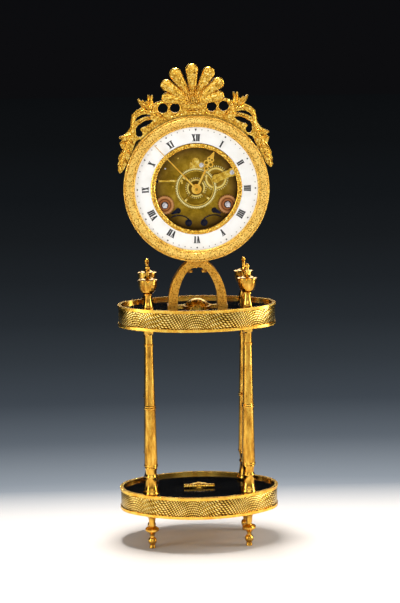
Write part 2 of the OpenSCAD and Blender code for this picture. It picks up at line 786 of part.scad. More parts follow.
module scroll_outline() {
    outline = [[9.7, 60], [9.1, 67], [9.1, 71.6], [20, 74], [27, 74.8], [31.2, 73.4], [33.4, 72.2],
               [33.4, 79.8], [34.6, 79.6], [35.4, 77], [36.6, 80], [37.6, 79.6], [37.9, 75.6],
               [40, 73.9], [41.8, 76], [43, 75], [45.4, 77.3], [46.2, 76.4], [44.9, 73.2],
               [42.9, 69.9], [47.9, 67.3], [51.4, 63.9], [52.5, 58], [52.8, 54.4], [55.7, 49.8],
               [59.6, 47.3], [62.7, 46.4], [62.9, 45.2], [60.2, 43.5], [62.7, 41.1], [62.2, 39.2],
               [60.3, 35.2], [63.2, 31.2], [64.4, 28.4], [63.7, 26.4], [65.1, 23.6],
               [64.6, 20.6], [65.2, 18.4], [63.6, 15.8], [62.4, 16.4], [60, 19.2], [57.7, 22.8],
               [52, 20], [44, 36], [30, 50]];
    gap = [[51, 34.4], [52.8, 33.4], [50.9, 38], [49, 42], [46, 43.8], [44, 43]];
    difference() {
        polygon(drawn(outline));
        circle(crest_seat, $fn = 180);
        polygon(drawn(gap));
        tongue([tongues[3][0], tongues[3][1]], tongues[3][2] + 0.15);
        for (hole = scroll_rings)
            translate([hole[0], hole[1]] * crest_unit) circle(hole[2] * crest_unit);
        stroke(drawn(scroll_slit));
        stroke(drawn(scroll_comma));
    }
}

module crest_scroll() {
    layer(crest_back, crest_front) scroll_outline();
    layer(crest_front, crest_front + crest_relief) for (run = scroll_ribs) stroke(drawn(run));
}

module crest_scroll_right() {
    color(gilt) head() rotate(crest_lean) crest_scroll();
}

module crest_scroll_left() {
    color(gilt) head() rotate(crest_lean) mirror([1, 0, 0]) crest_scroll();
}

screw_r = 1;
screw_head_r = 2;
winder_r = 2.4;
winder_pivot_r = 1.5;
click_at = [15.4, -19.2];
click_screw_at = [6.6, -29.6];
lever_at = [-33.5, 6.2];
bridge_screw_at = [30.4, 13.2];
cock_screw_at = [4.8, 19.4];
cock_post_at = [9, 41.5];

// Plates: full round, drilled for every arbor, pillar and screw
module front_plate() {
    color(satin_brass) head() difference() {
        layer(plate_back, plate_front) circle(front_plate_r, $fn = 180);
        rod(centre_at, plate_back - 1, plate_front + 1, centre_r + run_clear);
        for (p = [minute_at, second_at, third_at, strike_second_at, pin_at, lock_at, fly_at,
                  hammer_at, anchor_at, escape_at])
            rod(p, plate_back - 1, plate_front + 1, pivot_r + run_clear);
        for (p = [going_at, strike_at])
            rod(p, plate_back - 1, plate_front + 1, winder_r + run_clear);
        for (p = pillar_spots) rod(p, plate_back - 1, plate_front + 1, screw_r + rod_clear);
        for (a = plate_screw_angles)
            rod(polar(flange_screw_r, a), plate_back - 1, plate_front + 1, screw_r + rod_clear);
    }
}

module back_plate() {
    color(satin_brass) head() difference() {
        layer(rear_plate_back, rear_plate_front) circle(back_plate_r, $fn = 180);
        for (p = [centre_at, second_at, third_at, pin_at, lock_at, fly_at, escape_at])
            rod(p, rear_plate_back - 1, rear_plate_front + 1, pivot_r + run_clear);
        for (p = [strike_second_at, hammer_at])
            rod(p, rear_plate_back - 1, rear_plate_front + 1, arbor_r + run_clear);
        for (p = [going_at, strike_at])
            rod(p, rear_plate_back - 1, rear_plate_front + 1, winder_pivot_r + run_clear);
        rod(anchor_at, rear_plate_back - 1, rear_plate_front + 1, arbor_r + 1);
        for (p = pillar_spots)
            rod(p, rear_plate_back - 1, rear_plate_front + 1, screw_r + rod_clear);
    }
}

module plate_pillars() {
    color(satin_brass) head() for (p = pillar_spots) difference() {
        union() {
            rod(p, rear_plate_front, plate_back, pillar_r - 0.6);
            rod(p, rear_plate_front, rear_plate_front + 2, pillar_r);
            rod(p, plate_back - 2, plate_back, pillar_r);
            rod(p, (rear_plate_front + plate_back) / 2 - 1, (rear_plate_front + plate_back) / 2 + 1,
                pillar_r);
        }
        rod(p, rear_plate_front - 1, rear_plate_front + 5, screw_r + rod_clear / 2);
        rod(p, plate_back - 5, plate_back + 1, screw_r + rod_clear / 2);
    }
}

// A screw whose slotted head sits on the face at depth "on"
module screw(at, on, length, forward = true) {
    sign = forward ? 1 : -1;
    head_h = 1.1;
    difference() {
        union() {
            rod(at, forward ? on : on - head_h, forward ? on + head_h : on, screw_head_r);
            rod(at, forward ? on - length : on, forward ? on : on + length, screw_r);
        }
        translate([at[0], at[1], on + sign * (head_h + 0.6)])
            cube([2 * screw_head_r + 1, 0.5, 2.2], center = true);
    }
}

module movement_screws() {
    color(polished_steel) head() {
        for (p = pillar_spots) {
            screw(p, plate_front, plate_thick + 4);
            screw(p, rear_plate_back, plate_thick + 4, false);
        }
        for (a = plate_screw_angles)
            screw(polar(flange_screw_r, a), plate_front, plate_thick + flange_thick);
        screw(bridge_screw_at, bridge_front, bridge_front - plate_front - eps);
        screw(cock_screw_at, cock_top, cock_top - plate_front - eps);
        for (side = [-1, 1]) {
            screw([side * click_screw_at[0], click_screw_at[1]], plate_front + spring_h,
                  spring_h - eps);
            screw([side * click_at[0], click_at[1]], click_back + click_thick + 0.1,
                  click_back + click_thick + 0.1 - plate_front);
        }
        screw(lever_at, lever_back + lever_thick + 0.1,
              lever_back + lever_thick + 0.1 - plate_front);
    }
}

// Cock over the minute wheel, with a foot to its right
bridge_front = motion_high + wheel_thick + 2.5;
bridge_thick = 1.6;
module motion_bridge() {
    color(satin_brass) head() difference() {
        union() {
            layer(bridge_front - bridge_thick, bridge_front) {
                translate(minute_at) circle(3.6);
                translate(bridge_screw_at) circle(3.6);
                translate(minute_at) rotate(angle_of(bridge_screw_at - minute_at))
                    translate([0, -3]) square([norm(bridge_screw_at - minute_at), 6]);
            }
            layer(plate_front, bridge_front) translate(bridge_screw_at) circle(2.8);
        }
        rod(minute_at, plate_front - 1, bridge_front + 1, pivot_r + run_clear);
        rod(bridge_screw_at, plate_front - 1, bridge_front + 1, screw_r + rod_clear / 2);
    }
}

// Small cock for the front pivot of the escape wheel
cock_top = plate_front + 3;
module top_cock() {
    color(satin_brass) head() difference() {
        layer(plate_front, cock_top) {
            translate(escape_at) circle(3);
            translate([-5, 16.4]) square([12.4, 5.2]);
            translate(cock_screw_at) circle(2.9);
        }
        rod(escape_at, plate_front - 1, cock_top - 0.8, pivot_r + 0.6);
        rod(escape_at, plate_front - 1, cock_top + 1, pivot_r + run_clear);
        rod(cock_screw_at, plate_front - 1, cock_top + 1, screw_r + rod_clear / 2);
    }
}

// Part of a ring between two angles, as a strip of even width
module arc_strip(r, width, from, to) {
    far = r * 3;
    middle = (from + to) / 2;
    intersection() {
        ring(r + width / 2, r - width / 2);
        polygon([[0, 0], polar(far, from), polar(far, middle), polar(far, to)]);
    }
}

spring_h = 1.6;
spring_w = 0.8;
// Blued springs that press the clicks home, each with a curled screw end
module click_spring() {
    bow_r = 12.8;
    bow_centre = [15, -36];
    translate(bow_centre) arc_strip(bow_r, spring_w, 61, 133);
    translate(click_screw_at) ring(screw_head_r + 0.9, screw_r + rod_clear / 2);
}

module click_springs() {
    color(blued_steel) head() for (side = [0, 1])
        layer(plate_front, plate_front + spring_h) mirror([side, 0, 0]) click_spring();
}

// Gear outline with straight-sided teeth, a tooth at the angle phase
module gear_outline(m, teeth, addendum, dedendum, root_w, tip_w) {
    r = m * teeth / 2;
    root_r = r - dedendum * m;
    tip_r = r + addendum * m;
    root_a = root_w * m / root_r * 90 / PI;
    tip_a = tip_w * m / tip_r * 90 / PI;
    polygon([for (i = [0 : teeth - 1], c = [[root_r, -root_a], [tip_r, -tip_a],
                                             [tip_r, tip_a], [root_r, root_a]])
             polar(c[0], i * 360 / teeth + c[1])]);
}

module wheel_outline(m, teeth) {
    gear_outline(m, teeth, 0.95, 1.25, 1.7, 0.5);
}

module pinion_outline(m, teeth) {
    gear_outline(m, teeth, 0.75, 1.3, 1.25, 0.55);
}

// Openings that leave a rim, a hub and straight spokes
module crossings(rim_r, hub_r, spokes, spoke_w) {
    difference() {
        ring(rim_r, hub_r);
        for (i = [0 : spokes - 1]) rotate(i * 360 / spokes)
            translate([0, -spoke_w / 2]) square([rim_r + 1, spoke_w]);
    }
}

// Crossed-out wheel on its own arbor
module train_wheel(at, phase, mid, m, teeth, spokes, hub_r = 2.4, rim = 1.9) {
    r = m * teeth / 2;
    translate([at[0], at[1], 0]) rotate(phase) {
        layer(mid - wheel_thick / 2, mid + wheel_thick / 2) difference() {
            wheel_outline(m, teeth);
            rotate(180 / spokes) crossings(r - 1.25 * m - rim, hub_r, spokes, 1.1);
            circle(arbor_r);
        }
    }
    rod(at, mid - wheel_thick / 2 - 1, mid + wheel_thick / 2 + 0.6, arbor_r + 0.9);
}

module train_pinion(at, phase, back, front, m, teeth) {
    translate([at[0], at[1], 0]) rotate(phase)
        layer(back, front) pinion_outline(m, teeth);
}

// Arbor between the plates with a pivot in each
module train_arbor(at, r = arbor_r, front = plate_front, back = rear_plate_back) {
    rod(at, rear_plate_front + end_shake, plate_back - end_shake, r);
    rod(at, back, front, pivot_r);
}

module minute_hand() {
    boss_r = 3.2;
    root_w = 1.5;
    tip_w = 0.5;
    color(gilt) head() rotate(-minutes_shown * 6) difference() {
        union() {
            layer(minute_hand_back, minute_hand_back + hand_thick) {
                circle(boss_r);
                polygon([[-root_w / 2, 0], [root_w / 2, 0], [tip_w / 2, minute_len],
                         [-tip_w / 2, minute_len]]);
            }
            layer(minute_hand_back, minute_hand_back + hand_thick + 0.4) circle(boss_r - 1);
        }
        rod(centre_at, minute_hand_back - 1, minute_hand_back + 3, centre_r + eps);
    }
}

// Hour hand with a pierced leaf near its tip
module hour_hand() {
    boss_r = 4.2;
    stem_w = 1.6;
    leaf_at = hour_len - 11;
    color(gilt) head() rotate(-hour_angle) difference() {
        layer(hour_hand_back, hour_hand_back + hand_thick) {
            circle(boss_r);
            difference() {
                union() {
                    translate([-stem_w / 2, 0]) square([stem_w, hour_len - 9]);
                    translate([0, leaf_at - 4.6]) circle(2);
                    for (side = [-1, 1]) {
                        translate([side * 2, leaf_at]) circle(2.3);
                        translate([side * 1.3, leaf_at + 4]) circle(1.8);
                    }
                    polygon([[-2.2, leaf_at + 5], [2.2, leaf_at + 5], [0.35, hour_len],
                             [-0.35, hour_len]]);
                }
                for (side = [-1, 1]) {
                    translate([side * 2, leaf_at]) circle(1.3);
                    translate([side * 1.25, leaf_at + 4.1]) circle(0.8);
                }
                translate([0, leaf_at - 4.6]) circle(1.1);
            }
        }
        rod(centre_at, hour_hand_back - 1, hour_hand_back + 2, hour_pipe_r + eps);
    }
}

module cannon_pinion() {
    color(copper_brass) head() difference() {
        union() {
            rotate(cannon_phase) layer(motion_low, motion_low + wheel_thick)
                difference() {
                    wheel_outline(motion_m1, cannon_teeth);
                    crossings(6.2, 3.4, 4, 1.3);
                }
            rod(centre_at, plate_front + end_shake, minute_hand_back - 0.1, cannon_pipe_r);
        }
        rod(centre_at, plate_front - 1, minute_hand_back + 2, centre_r + eps);
    }
}

// Centre arbor with its wheel and pinion, running through to the hands
module center_wheel() {
    color(satin_brass) head() {
        train_wheel(centre_at, cannon_phase, layer_centre, centre_m, centre_teeth, 5);
        train_pinion(centre_at, centre_pinion_phase, layer_second - 1, layer_second + 1,
                     second_m, centre_pinion_teeth);
        rod(centre_at, rear_plate_front + end_shake, plate_back - end_shake, arbor_r + 0.2);
        rod(centre_at, rear_plate_back, rear_plate_front + 1, pivot_r);
        rod(centre_at, plate_back - 1, minute_hand_back + hand_thick + 0.8, centre_r);
    }
}

module hour_wheel() {
    color(satin_brass) head() difference() {
        union() {
            rotate(hour_wheel_phase) layer(motion_high, motion_high + wheel_thick)
                difference() {
                    wheel_outline(motion_m2, hour_wheel_teeth);
                    crossings(motion_m2 * hour_wheel_teeth / 2 - 2.7, hour_pipe_r + 2.2, 4, 1.6);
                }
            rod(centre_at, motion_high - 0.6, hour_hand_back + hand_thick, hour_pipe_r);
        }
        rod(centre_at, motion_high - 2, hour_hand_back + 3, cannon_pipe_r + run_clear);
    }
}

module minute_wheel() {
    color(satin_brass) head() {
        translate([minute_at[0], minute_at[1], 0]) {
            rotate(minute_wheel_phase) layer(motion_low, motion_low + wheel_thick)
                wheel_outline(motion_m1, minute_wheel_teeth);
            rotate(minute_pinion_phase)
                layer(motion_low, motion_high + wheel_thick + 0.6)
                pinion_outline(motion_m2, minute_pinion_teeth);
        }
        rod(minute_at, plate_back, bridge_front, pivot_r);
        rod(minute_at, plate_front + end_shake, bridge_front - bridge_thick - end_shake,
            pivot_r + 0.4);
    }
}

// Spring barrel: drum, toothed wheel and cap, turning on the winding arbor
module barrel(at, phase) {
    body_r = barrel_m * barrel_teeth / 2 - 1.4;
    wall = 1;
    cap = 1;
    difference() {
        union() {
            rod(at, barrel_back, barrel_front, body_r);
            translate([at[0], at[1], 0]) rotate(phase)
                layer(barrel_back, barrel_back + barrel_tooth_h)
                wheel_outline(barrel_m, barrel_teeth);
        }
        rod(at, barrel_back - 1, barrel_front + 1, winder_r + run_clear);
        difference() {
            rod(at, barrel_back + cap, barrel_front - cap, body_r - wall);
            rod(at, barrel_back, barrel_front, winder_r + 1.6);
        }
    }
}

module going_barrel() {
    color(satin_brass) head() barrel(going_at, going_phase);
}

module strike_barrel() {
    color(satin_brass) head() barrel(strike_at, 0);
}

// Winding arbor with its ratchet and the square for the key
module winder(at, hand) {
    ratchet_back = plate_front + 0.3;
    ratchet_h = 2;
    square_front = dial_plate_back + 1;
    depth = 0.17;
    translate([at[0], at[1], 0]) {
        translate([0, 0, rear_plate_front + end_shake])
            cylinder(h = ratchet_back - rear_plate_front - end_shake, r = winder_r);
        translate([0, 0, rear_plate_back])
            cylinder(h = plate_thick + 1, r = winder_pivot_r);
        mirror([hand > 0 ? 0 : 1, 0, 0])
            layer(ratchet_back, ratchet_back + ratchet_h)
            polygon([for (i = [0 : ratchet_teeth - 1], c = [[1, 0], [1 - depth, 0.9]])
                     polar(ratchet_r * c[0], (i + c[1]) * 360 / ratchet_teeth)]);
        translate([0, 0, ratchet_back]) cylinder(h = ratchet_h + 0.8, r = 3.4);
        translate([0, 0, ratchet_back + (square_front - ratchet_back) / 2])
            cube([square_side, square_side, square_front - ratchet_back], center = true);
    }
}

module going_winder() {
    color(copper_brass) head() winder(going_at, 1);
}

module strike_winder() {
    color(copper_brass) head() winder(strike_at, -1);
}

// Click lying along the ratchet, its tip just clear of the tooth circle
click_back = plate_front + 0.3;
click_thick = 1.6;
module click() {
    tip = going_at + polar(ratchet_r + 0.35, 234);
    way = angle_of(tip - click_at);
    reach = norm(tip - click_at);
    layer(click_back, click_back + click_thick) {
        difference() {
            translate(click_at) circle(2.3);
            translate(click_at) circle(screw_r + run_clear);
        }
        difference() {
            translate(click_at) rotate(way)
                polygon([[0, -1.9], [reach - 0.4, -1.1], [reach, 0.1], [1, 1.9]]);
            translate(click_at) circle(screw_r + run_clear);
            translate(going_at) circle(ratchet_r + 0.3);
        }
    }
}

module going_click() {
    color(blued_steel) head() click();
}

module strike_click() {
    color(blued_steel) head() mirror([1, 0, 0]) click();
}

// Lever that the dial train lifts to free the strike
lever_back = plate_front + 0.3;
lever_thick = 1;
module lifting_lever() {
    tip_x = -11;
    color(polished_steel) head() {
        layer(lever_back, lever_back + lever_thick) difference() {
            union() {
                translate(lever_at) circle(2.2);
                translate([lever_at[0], lever_at[1] - 0.8]) square([tip_x - lever_at[0], 1.6]);
                translate([tip_x - 1.4, lever_at[1] - 2.6]) square([1.4, 3]);
            }
            translate(lever_at) circle(screw_r + run_clear);
        }
    }
}

module second_wheel() {
    color(satin_brass) head() {
        train_wheel(second_at, second_phase, layer_second, second_m, second_teeth, 5);
        train_pinion(second_at, second_phase, barrel_back - 0.4, barrel_back + barrel_tooth_h + 0.4,
                     barrel_m, second_pinion_teeth);
        train_arbor(second_at);
    }
}

module third_wheel() {
    color(satin_brass) head() {
        train_wheel(third_at, third_pinion_phase, layer_third, third_m, third_teeth, 4);
        train_pinion(third_at, third_pinion_phase, layer_centre - 1.2, layer_centre + 1.2,
                     centre_m, third_pinion_teeth);
        train_arbor(third_at, third_arbor_r);
    }
}
third_arbor_r = 0.65;

module escape_wheel() {
    hub_r = 2;
    color(satin_brass) head() {
        translate([escape_at[0], escape_at[1], 0]) {
            layer(layer_escape - 0.5, layer_escape + 0.5) difference() {
                polygon([for (i = [0 : escape_teeth - 1],
                              c = [[1, 0], [0.86, 0.12], [0.86, 0.8]])
                         polar(escape_r * c[0], (i + c[1]) * 360 / escape_teeth)]);
                crossings(7.6, hub_r, 4, 0.9);
            }
        }
        train_pinion(escape_at, escape_pinion_phase, layer_third - 1.2, layer_third + 1.2,
                     third_m, escape_pinion_teeth);
        rod(escape_at, rear_plate_front + end_shake, plate_back - end_shake, third_arbor_r);
        rod(escape_at, rear_plate_back, cock_top - 0.1, pivot_r);
    }
}

// Anchor with the crutch on its arbor; the pallets clear the tooth circle
module anchor() {
    clear = escape_r * sin(half_swing) + 0.3;
    crutch_len = 28;
    fork_gap = rod_pendulum_r + 0.35;
    finger_r = 0.5;
    color(polished_steel) head() {
        layer(layer_escape - 0.7, layer_escape + 0.7) difference() {
            union() {
                translate(anchor_at) circle(2.6);
                difference() {
                    translate(escape_at) circle(escape_r + clear + 2.4);
                    translate(escape_at - [20, 20]) square([40, 20 + escape_r * 0.62]);
                }
                translate([-2, anchor_at[1] - 4]) square([4, 4]);
            }
            translate(escape_at) circle(escape_r + clear);
        }
        rod(anchor_at, rear_plate_front + end_shake, plate_back - end_shake, arbor_r);
        rod(anchor_at, rear_plate_front, plate_front, pivot_r);
        rod(anchor_at, crutch_front - crutch_thick, rear_plate_front + 1, arbor_r);
        rod(anchor_at, cock_front - cock_thick, crutch_front, pivot_r);
        layer(crutch_front - crutch_thick, crutch_front) {
            translate(anchor_at) circle(2.2);
            translate([-0.8, anchor_at[1] - crutch_len]) square([1.6, crutch_len]);
            translate([-fork_gap - 2 * finger_r, anchor_at[1] - crutch_len - 1])
                square([2 * fork_gap + 4 * finger_r, 2]);
        }
        for (side = [-1, 1])
            rod([side * (fork_gap + finger_r), anchor_at[1] - crutch_len],
                pendulum_w - rod_pendulum_r - 0.8, crutch_front, finger_r);
    }
}

// Back cock: two posts, a bridge for the anchor pivot, a block for the spring
suspension_slit = 1.4;
module suspension_cock() {
    block_half = 3;
    post_r = 2.4;
    slab_low = anchor_at[1] - 2.8;
    slab_high = cock_post_at[1] + 3;
    color(satin_brass) head() difference() {
        union() {
            for (side = [-1, 1])
                rod([side * cock_post_at[0], cock_post_at[1]], cock_front, rear_plate_back, post_r);
            layer(cock_front - cock_thick, cock_front) {
                translate([-cock_post_at[0], cock_post_at[1] - 2.4])
                    square([2 * cock_post_at[0], 4.8]);
                for (side = [-1, 1])
                    translate([side * cock_post_at[0], cock_post_at[1]]) circle(post_r);
                translate([-block_half, slab_low]) square([2 * block_half, slab_high - slab_low - 1]);
            }
            layer(pendulum_w - 2.2, cock_front)
                translate([-block_half, cock_post_at[1] - 1.8]) square([2 * block_half, 4]);
        }
        rod(anchor_at, cock_front - cock_thick - 1, cock_front + 1, pivot_r + run_clear);
        translate([-suspension_slit / 2, cock_post_at[1] - 3, pendulum_w - 3])
            cube([suspension_slit, 4.2, 5.2 - eps]);
    }
}

// Pendulum: spring strip, rod, lens bob and rating nut
module pendulum() {
    strip_top = cock_post_at[1];
    strip_half = 1.5;
    rod_top = anchor_at[1] - 3.4;
    bob_half = 3.6;
    bob_v = anchor_at[1] - pendulum_len;
    lens = (bob_r * bob_r + bob_half * bob_half) / (2 * bob_half);
    nut_r = 2;
    color(gilt) head() {
        translate([-0.12, rod_top - 1, pendulum_w - strip_half])
            cube([0.24, strip_top - rod_top + 1, 2 * strip_half]);
        translate([0, strip_top - 0.6, pendulum_w]) rotate([0, 90, 0])
            cylinder(h = 0.8, r = 0.5, center = true);
        translate([0, 0, pendulum_w]) rotate([90, 0, 0])
            translate([0, 0, -rod_top]) cylinder(h = rod_top - bob_v + bob_r + 1, r = rod_pendulum_r);
        translate([0, rod_top, pendulum_w]) cube([2.6, 2.4, 3], center = true);
        translate([0, bob_v, pendulum_w]) rotate_extrude() intersection() {
            translate([0, bob_half - lens]) circle(lens, $fn = 180);
            translate([0, lens - bob_half]) circle(lens, $fn = 180);
            translate([0, -bob_half]) square([bob_r - 0.4, 2 * bob_half]);
        }
        translate([0, bob_v - bob_r - 0.2, pendulum_w]) rotate([90, 0, 0])
            cylinder(h = 2, r = nut_r);
    }
}

// Bell as a cup of part of a sphere, open towards the movement
module bell() {
    apex = bell_front - bell_depth;
    centre_w = apex + bell_sphere;
    stem_r = 2;
    color(gilt) head() difference() {
        translate([bell_at[0], bell_at[1], centre_w]) sphere(bell_sphere, $fn = 180);
        translate([bell_at[0], bell_at[1], centre_w]) sphere(bell_sphere - bell_wall, $fn = 180);
        translate([bell_at[0] - 50, bell_at[1] - 50, bell_front]) cube([100, 100, 60]);
        rod(bell_at, apex - 1, apex + 6, stem_r + 0.1);
    }
}

module bell_stand() {
    apex = bell_front - bell_depth;
    stem_r = 2;
    arm = 3;
    foot = 3.6;
    nut = 2.4;
    color(polished_steel) head() {
        rod(bell_post_at, bell_front - 2, rear_plate_back, 1.8);
        rod(bell_post_at, rear_plate_back - 1.6, rear_plate_back, foot);
        layer(bell_front - 2 - arm, bell_front - 2) {
            translate(bell_post_at) circle(2.2);
            translate(bell_at) circle(2.6);
            translate(bell_post_at) rotate(angle_of(bell_at - bell_post_at))
                translate([0, -1.7]) square([norm(bell_at - bell_post_at), 3.4]);
        }
        rod(bell_at, apex + bell_wall + 0.3, bell_front - 2, 2.8);
        rod(bell_at, apex - 2.6, bell_front - 4, stem_r);
        rod(bell_at, apex - 2.6, apex, 3.4);
    }
}

module strike_second_wheel() {
    color(satin_brass) head() {
        train_wheel(strike_second_at, strike_second_phase, layer_second, strike_m,
                    strike_second_teeth, 5);
        train_pinion(strike_second_at, strike_second_phase, barrel_back - 0.4,
                     barrel_back + barrel_tooth_h + 0.4, barrel_m, second_pinion_teeth);
        train_arbor(strike_second_at);
        rod(strike_second_at, count_back - 0.8, rear_plate_front + 1, arbor_r);
    }
}

// Count wheel outside the back plate, notched further apart for each hour
count_back = rear_plate_back - 2.2;
module count_wheel() {
    rim_r = 11.5;
    strokes = 90;
    notch_w = 1;
    color(satin_brass) head() translate([strike_second_at[0], strike_second_at[1], 0])
        layer(count_back, count_back + wheel_thick) difference() {
            circle(rim_r);
            circle(arbor_r + eps);
            for (hour = [1 : 12]) rotate((hour * (hour + 1) / 2 + hour - 1) * 360 / strokes)
                translate([rim_r, 0]) square([2.4, notch_w], center = true);
            crossings(7.6, 2.6, 4, 1.4);
        }
}

module pin_wheel() {
    pins = 8;
    pin_ring = 8.6;
    pin_len = 1.6;
    color(satin_brass) head() {
        train_wheel(pin_at, pin_phase, layer_pin, strike_m, pin_wheel_teeth, 4, 2.4, 2.4);
        for (i = [0 : pins - 1])
            rod(pin_at + polar(pin_ring, i * 360 / pins), layer_pin - wheel_thick / 2 - pin_len,
                layer_pin, 0.5);
        train_pinion(pin_at, pin_phase, layer_second - 1, layer_second + 1, strike_m,
                     pin_pinion_teeth);
        train_arbor(pin_at, 0.8);
    }
}

module locking_wheel() {
    color(satin_brass) head() {
        train_wheel(lock_at, lock_phase, layer_third, lock_m, lock_teeth, 4, 2, 1.6);
        train_pinion(lock_at, lock_phase, layer_pin - 1, layer_pin + 1, strike_m,
                     lock_pinion_teeth);
        train_arbor(lock_at, 0.8);
    }
}

module fly() {
    blade_half = 6.8;
    color(satin_brass) head() {
        train_pinion(fly_at, fly_phase, layer_third - 1, layer_third + 1, lock_m,
                     fly_pinion_teeth);
        train_arbor(fly_at, 0.7);
        translate([fly_at[0], fly_at[1], 0]) {
            translate([0, 0, layer_third - 6]) cube([2 * blade_half, 0.5, 6], center = true);
            rod(centre_at, layer_third - 8.4, layer_third - 3.4, 1.4);
        }
    }
}

// Hammer: arbor through both plates, tail by the pins, head beside the bell
module hammer() {
    arm_back = rear_plate_back - 3.2;
    arm_front = rear_plate_back - 1.6;
    tail = pin_at + polar(9.55, 165);
    tail_front = layer_pin - wheel_thick / 2 - 1.4;
    way = angle_of(hammer_head_at - hammer_at);
    color(polished_steel) head() {
        rod(hammer_at, arm_back, plate_back - end_shake, arbor_r);
        rod(hammer_at, plate_back - 1, plate_front, pivot_r);
        layer(tail_front - 0.7, tail_front) {
            translate(hammer_at) circle(1.9);
            translate(hammer_at) rotate(angle_of(tail - hammer_at))
                translate([0, -0.6]) square([norm(tail - hammer_at), 1.2]);
        }
        layer(arm_back, arm_front) {
            translate(hammer_at) circle(2.2);
            translate(hammer_at) rotate(way) translate([0, -1.2]) square([hammer_reach, 2.4]);
            translate(hammer_head_at) circle(1.6);
        }
        rod(hammer_head_at, bell_front - 1, arm_back + 0.5, 0.9);
        rod(hammer_head_at, bell_front - 6, bell_front - 0.4, hammer_head_r);
    }
}

base_gallery();
base_slab();
base_mount();
feet();
column_front_left();
column_front_right();
column_back_left();
column_back_right();
tie_rods();
platform_gallery();
platform_slab();
platform_mount();
urn_front_left();
urn_front_right();
urn_back_left();
urn_back_right();
arch();
arch_screws();
drum();
bezel();
chapter_ring();
inner_ring();
dial_plate();
crest_palmette();
crest_scroll_left();
crest_scroll_right();
front_plate();
back_plate();
plate_pillars();
movement_screws();
motion_bridge();
top_cock();
click_springs();
bell();
bell_stand();
suspension_cock();
minute_hand();
cannon_pinion();
center_wheel();
hour_hand();
hour_wheel();
minute_wheel();
going_barrel();
going_winder();
strike_barrel();
strike_winder();
going_click();
strike_click();
lifting_lever();
second_wheel();
third_wheel();
escape_wheel();
anchor();
pendulum();
strike_second_wheel();
count_wheel();
pin_wheel();
locking_wheel();
fly();
hammer();
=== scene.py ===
import bpy
import numpy as np
from math import cos, pi, radians, sin
from mathutils import Matrix, Vector


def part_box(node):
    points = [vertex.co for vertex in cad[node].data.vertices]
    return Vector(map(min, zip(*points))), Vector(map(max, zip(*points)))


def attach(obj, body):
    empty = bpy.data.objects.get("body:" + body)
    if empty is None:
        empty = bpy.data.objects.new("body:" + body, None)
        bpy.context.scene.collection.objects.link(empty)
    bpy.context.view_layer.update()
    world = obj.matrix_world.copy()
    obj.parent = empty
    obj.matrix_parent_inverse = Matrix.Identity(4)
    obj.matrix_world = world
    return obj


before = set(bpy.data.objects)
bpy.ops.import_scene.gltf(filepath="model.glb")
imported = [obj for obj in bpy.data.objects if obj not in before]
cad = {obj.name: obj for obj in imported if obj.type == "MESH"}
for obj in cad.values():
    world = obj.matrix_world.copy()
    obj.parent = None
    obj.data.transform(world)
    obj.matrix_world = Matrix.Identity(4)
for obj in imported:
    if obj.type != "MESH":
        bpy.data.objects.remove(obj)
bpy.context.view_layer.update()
mm = 0.001
print("frame loaded")

# Places read from the frame, in millimetres
bezelLow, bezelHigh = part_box("bezel")
dialZ = (bezelLow.z + bezelHigh.z) / 2 / mm
bezelOuter = bezelHigh.x / mm
bezelFront = -bezelLow.y / mm
enamelFront = -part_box("chapter_ring")[0].y / mm
crestLean = radians(1.5)  # as the crest sits on the real clock


def headPoints(u, v, w):
    # right, up and forward from the dial's centre, to metres in the frame
    return np.stack([u, -np.asarray(w, float) + 0 * u, dialZ + v], axis=-1) * mm


# Camera: degrees round and above the clock, metres to the target, lens in millimetres

cameraPlan = {"azimuth": -2.5, "elevation": 9.45, "distance": 1.296, "lens": 88.96,
              "roll": -0.75, "target": (0.0029, 0.0, 0.2145), "reach": 20}


def makeCamera(plan):
    turn, rise = radians(plan["azimuth"]), radians(plan["elevation"])
    look = Vector((-sin(turn) * cos(rise), cos(turn) * cos(rise), -sin(rise)))
    data = bpy.data.cameras.new("camera")
    data.lens = plan["lens"]
    data.clip_end = plan["reach"]
    camera = bpy.data.objects.new("camera", data)
    camera.location = Vector(plan["target"]) - look * plan["distance"]
    roll = Matrix.Rotation(radians(plan["roll"]), 3, "Z")
    camera.rotation_euler = (look.to_track_quat("-Z", "Y").to_matrix() @ roll).to_euler()
    bpy.context.scene.collection.objects.link(camera)
    bpy.context.scene.camera = camera


makeCamera(cameraPlan)


# Nodes and colours

def linear(hexColour):
    # sRGB hex to linear red, green, blue, alpha
    s = np.array([int(hexColour[i:i + 2], 16) for i in (1, 3, 5)]) / 255
    c = np.where(s <= 0.04045, s / 12.92, ((s + 0.055) / 1.055) ** 2.4)
    return (*c.tolist(), 1.0)


def addNode(tree, kind, links=None, stops=(), **values):
    # one node with its settings; a link comes from a node, a socket or a plain value, and
    # stops are the places and colours of a ramp
    node = tree.nodes.new("ShaderNode" + kind)
    for key, value in values.items():
        if hasattr(node, key):
            setattr(node, key, value)
        else:
            node.inputs[key.replace("_", " ")].default_value = value
    for key, source in (links or {}).items():
        if isinstance(source, bpy.types.Node):
            source = source.outputs[0]
        if isinstance(source, bpy.types.NodeSocket):
            tree.links.new(source, node.inputs[key])
        else:
            node.inputs[key].default_value = source
    while stops and len(node.color_ramp.elements) < len(stops):
        node.color_ramp.elements.new(0.5)
    for k, (place, colour) in enumerate(stops):
        node.color_ramp.elements[k].position = place
        node.color_ramp.elements[k].color = linear(colour)
    return node


def newTree(name):
    made = bpy.data.materials.new(name)
    made.use_nodes = True
    made.node_tree.nodes.clear()
    return made, made.node_tree


